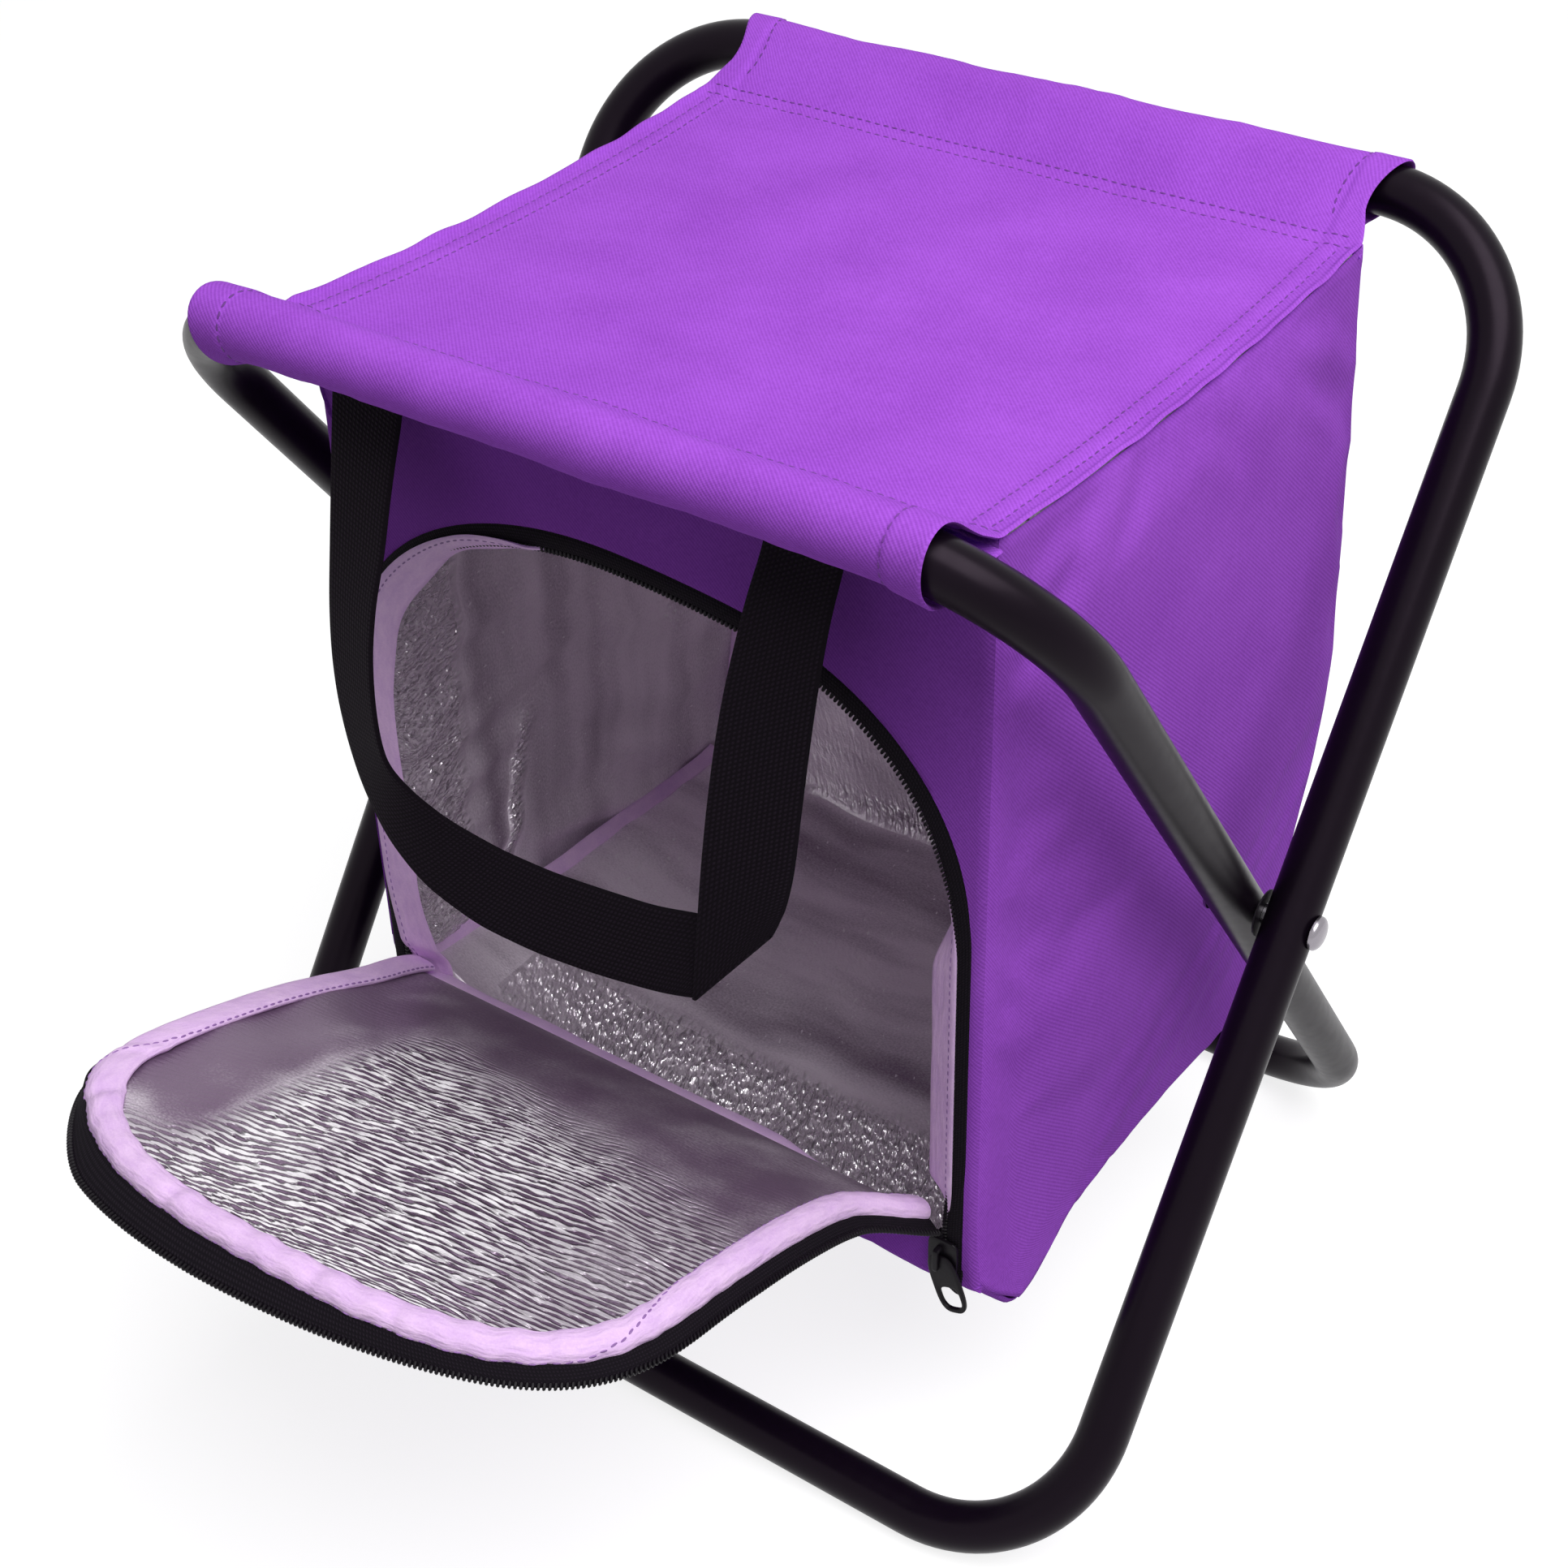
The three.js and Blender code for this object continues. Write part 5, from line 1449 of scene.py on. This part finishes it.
# Painted shade: below zero the mark darkens the left strip and the part near the hinge.
mark = np.where(left_strip > 0.02, mark - 0.6 * left_strip * smooth_step(run, 25, 60), mark) - 0.15 * (1 - away)
amount = np.maximum(mark, 0)
border = smooth_step(1 - np.abs(x) / np.abs(x).max(1, keepdims=True).clip(1), 0, 0.06) \
    * smooth_step(run, 6, 16) * smooth_step(run.max() - run, 0, 8)
push = 0.18 * ripples(x, run + 0.2 * x, 2.8, 0.15, 101, 60) * amount + 0.6 * slow * border - 0.8 * (1 - border)
points = plain + slopes(plain) * (up * push)[..., None]
flap_foam = piece("flap_foil", shell(points, 0, values=mark, back=foam_back), flap_foil_finish, "flap",
                  ["flap_lining"])

# %% Lilac edge of the flap
EDGE_SECTION = np.array([[10.6, 0.6], [9.6, 1.4], [9.3, 3.0], [9.8, 4.8], [11.1, 6.2], [13.1, 6.9], [15.3, 6.7],
                         [17.1, 6.1], [18.0, 5.3], [18.0, 4.7], [17.2, 3.8], [15.0, 2.8], [12.4, 1.4]])
GATHERS = 96, 121, 150, 168, 205, 243, 262


def lilac_edge(steps=360):
    """The folded tape's closed section, carried round the flap. It puckers where the edge is gathered."""
    station = np.arange(steps)[:, None]
    outline = flap_outline(0.0, 3.0, steps)
    at_tip = smooth_step(outline[:, 1], 120, 175)[:, None]
    pucker = ripples(station * 0.0, station * 1.6, 15, 0.0, 111) * (0.25 + 0.5 * at_tip)
    gathers = sum(hill(station, k, 1.6) for k in GATHERS) * at_tip
    wide = leftness(outline[:, :1], outline[:, 1:])
    inset = EDGE_SECTION[None, :, 0] + 0.3 * pucker + 0.6 * gathers + 3.2 * wide * (EDGE_SECTION[None, :, 0] > 14)
    lift = EDGE_SECTION[None, :, 1] * (1 + 0.06 * pucker - 0.12 * gathers)
    dense = np.linspace(0, len(EDGE_SECTION), 40, endpoint=False)

    def refine(values):
        ring = np.concatenate([values, values[:, :1]], 1)
        low = np.floor(dense).astype(int)
        part = dense - low
        return ring[:, low] * (1 - part) + ring[:, low + 1] * part

    return refine(inset), refine(lift)


inset, lift = lilac_edge()
points = flap_band(inset, lift, 3.0)
rows, columns_round = points.shape[:2]
faces, row, column = grid_faces(rows, columns_round, False, True)
flat = np.stack([row * 1.6, column * 0.9], -1).astype(float)
caps = end_fans(rows, columns_round)
flats = [flat, *(np.zeros((*cap.shape, 2)) for cap in caps)]
edge_patch = Patch(points.reshape(-1, 3), [faces, *caps], flats).outward()
piece("flap_edge_tape", edge_patch, lilac, "flap", ["flap_binding"])

outline = flap_outline(0.0, 3.0, 360)
at_tip = smooth_step(outline[:, 1], 135, 180)
share = (7.5 / len(EDGE_SECTION)) * (1 - at_tip) + (1.7 / len(EDGE_SECTION)) * at_tip
pick = (share * columns_round).astype(int)
stitch_line = points[np.arange(rows), pick]
edge_normal = unit(stitch_line - points.mean(1))
piece("flap_stitches", stitch_row(stitch_line, edge_normal, 3.2, 2.2, 0.38, 0.05), thread_lilac,
      "flap")

# %% Zip tape and coil on the flap
def flap_tape(distances, steps=360, start=2.5):
    """From under the lilac edge outwards and down, at 36 degrees, and straight down where it is turned under."""
    outline = flap_outline(0.0, start, steps)
    angle = np.radians(31 + 55 * leftness(outline[:, :1], outline[:, 1:]))
    reach = 9.8 - 1.6 * leftness(outline[:, :1], outline[:, 1:])
    d = np.asarray(distances, float)[None] * (1 - 0.42 * smooth_step(outline[:, :1], -20, 70)
                                                 - 0.5 * smooth_step(-outline[:, :1], 66, 98))
    return flap_band(reach - d * np.cos(angle), 2.2 - d * np.sin(angle), start, steps)


points = flap_tape(np.linspace(-1.5, 9.0, 10))
piece("flap_zip_tape_cloth", shell(points, face_up(points) * TAPE_THICK), tape_black, "flap",
      ["flap_zip_tape"])
line, out = flap_tape([9.3])[:, 0], flap_tape([10.3])[:, 0]
piece("flap_zip_coil", coil(line, out - line), nylon, "flap", ["flap_zip_teeth"])


# %% Lilac strip over the hinge
def hinge_strip(steps=120):
    """A soft roll along the flap's root, from the bag's floor over the front's edge and on to the flap."""
    x = np.linspace(-103, 99, steps)
    path = np.stack([x, np.full(steps, FRONT_Y + 0.8), HINGE_Z + 2.0 + 0.5 * ripples(x * 0, x, 60, 0.0, 131)], -1)
    across = np.tile(unit(np.array([0.0, -0.86, 0.5])), (steps, 1))
    lift_way = np.tile(unit(np.array([0.0, 0.5, 0.86])), (steps, 1))
    shown = 1 - smooth_step(x, 42, 66)
    path[:, 2] -= 2.4 * (1 - shown)
    taper = (smooth_step(x, -103, -92) * (0.25 + 0.75 * shown))[:, None, None]
    return sweep(path, across, lift_way, rolled(5.8, 1.6)[None] * (0.3 + 0.7 * taper))


piece("hinge_roll", hinge_strip(), lilac, "seat_frame", ["hinge_binding"])

# %% [markdown]
# ## Slider, pull and carry strap
# The slider is a small nylon clasp over the coil, with a crown that holds a flat pull with a hole at its end. The
# strap is woven webbing, sewn in at both ends. It hangs in a U, twists at the left and is folded over on itself at
# the right, so it is built from its two edges, station by station.

# %% Slider and pull
slider_low, slider_high = (np.array(c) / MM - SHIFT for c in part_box("zip_slider"))
slider_middle = (slider_low + slider_high) / 2


def block(centre, size):
    """One rounded block in its place."""
    return scatter(bead(np.array(size) / 2, 0.35, 10, 16), np.array([centre], float), np.eye(3)[None])


body_x = slider_middle[0]
slider = join(
    block((body_x + 0.8, -101.7, slider_middle[2]), (10.4, 1.5, 13.4)),
    block((body_x + 0.8, -97.2, slider_middle[2]), (9.6, 1.4, 12.4)),
    block((slider_low[0] + 7.2, -99.5, slider_middle[2]), (1.3, 4.6, 10.4)),
    block((body_x, -103.4, slider_middle[2] + 3.4), (2.0, 3.0, 1.6)),
    block((body_x, -103.4, slider_middle[2] - 3.2), (2.0, 3.0, 1.6)),
    block((body_x, -104.9, slider_middle[2]), (2.0, 1.3, 8.4)),
)
piece("slider_clasp", slider, nylon, "slider", ["zip_slider"])


def pull_grid(around=96):
    """A flat plate with a hole near its end: at each angle, rounded from the hole's edge out to the plate's edge."""
    turn = np.linspace(0, TAU, around, endpoint=False)

    def oval(half_x, half_z, power, centre):
        c, s = np.cos(turn), np.sin(turn)
        return np.stack([half_x * np.sign(c) * np.abs(c) ** power,
                         centre + half_z * np.sign(s) * np.abs(s) ** power], -1)

    outer = oval(5.2, 10.8, 0.62, -9.9)
    hole = oval(3.6, 4.0, 0.7, -15.0)
    share = np.array([0, 0.06, 0.2, 0.5, 0.8, 0.94, 1])
    thick = 0.75 * np.array([0.35, 0.75, 1, 1, 1, 0.75, 0.35])
    ring = np.concatenate([share, share[::-1]])
    side = np.concatenate([thick, -thick[::-1]])
    xz = hole[:, None] + (outer - hole)[:, None] * ring[None, :, None]
    return np.stack([xz[..., 0], np.broadcast_to(side[None], xz.shape[:2]), xz[..., 1]], -1)


pull_hinge = np.array([slider_middle[0] + 0.2, -103.45, 96.6])
PULL_TURN = math.radians(20)
points = pull_grid()
points[..., 0], points[..., 2] = (points[..., 0] * math.cos(PULL_TURN) - points[..., 2] * math.sin(PULL_TURN),
                                  points[..., 0] * math.sin(PULL_TURN) + points[..., 2] * math.cos(PULL_TURN))
points = points + pull_hinge
faces, row, column = grid_faces(*points.shape[:2], True, True)
pull = Patch(points.reshape(-1, 3), [faces], [np.zeros((*faces.shape, 2))]).outward()
piece("pull_tab", pull, nylon, "pull", ["zip_pull"], math.radians(40))

# %% Carry strap
# Each row has the two edges of the strap: x, y and z of the left or lower one, then of the right or upper one.
STRAP_RIGHT = np.array([
    [59.6, -112.0, 350.0, 84.2, -112.6, 351.0], [59.3, -114.5, 337.0, 84.0, -116.0, 339.1],
    [57.5, -120.6, 323.2, 82.3, -119.4, 326.3], [57.2, -125.4, 312.0, 81.8, -122.6, 314.8],
    [56.1, -129.9, 298.0, 80.6, -125.0, 299.9], [55.8, -134.6, 282.1, 79.8, -127.9, 282.5],
    [55.6, -138.3, 266.5, 79.5, -130.9, 267.1], [55.4, -141.6, 249.7, 79.8, -134.8, 251.4],
    [54.3, -143.9, 228.0, 79.2, -138.6, 240.5], [53.0, -146.2, 203.4, 76.6, -142.2, 233.6]])
STRAP_LEFT = np.array([
    [52.9, -143.9, 203.0, 76.0, -139.6, 233.0], [45.5, -144.3, 201.0, 52.5, -138.0, 228.0],
    [37.4, -144.9, 199.5, 37.6, -138.5, 223.7], [18.1, -146.0, 197.0, 18.4, -138.0, 220.7],
    [-3.1, -146.4, 195.0, -1.2, -137.8, 218.3], [-26.1, -146.0, 194.8, -21.6, -137.2, 217.4],
    [-48.7, -143.9, 198.5, -39.8, -138.4, 221.1], [-65.0, -140.6, 207.2, -51.1, -140.8, 228.1],
    [-76.2, -137.2, 220.6, -59.1, -143.2, 237.3], [-81.0, -135.9, 234.7, -61.5, -142.4, 249.1],
    [-83.6, -134.9, 248.2, -62.8, -140.8, 261.2], [-85.2, -133.2, 262.1, -63.4, -138.6, 273.4],
    [-85.7, -130.9, 277.5, -63.1, -135.1, 287.4], [-86.4, -127.4, 291.6, -62.6, -130.4, 299.1],
    [-87.8, -122.4, 309.3, -63.5, -124.2, 315.0], [-88.6, -118.8, 323.6, -63.9, -119.2, 327.1],
    [-89.3, -115.0, 337.8, -64.4, -114.4, 337.5], [-89.6, -112.4, 350.6, -64.6, -112.0, 350.0]])


def strap_grid(across=13):
    """The edges are softened between stations, the fold gets a round back, and columns go from edge to edge."""
    right = soften(resample(STRAP_RIGHT, 2.2), 3)
    left = soften(resample(STRAP_LEFT, 2.2), 3)
    out = np.tile(unit(np.array([0.74, -0.2, -0.64])) * 0.9, 2)
    fold = np.stack([right[-1] * (1 - t) + left[0] * t + out * math.sin(math.pi * t) for t in (0.25, 0.5, 0.75)])
    edges = np.concatenate([right, fold, left])
    share = np.linspace(0, 1, across)[None, :, None]
    return edges[:, None, :3] * (1 - share) + edges[:, None, 3:] * share


points = strap_grid()
strap = piece("strap_webbing", shell(points, 1.3), strap_black, "strap", ["carry_strap"],
              math.radians(70))
cut(points)
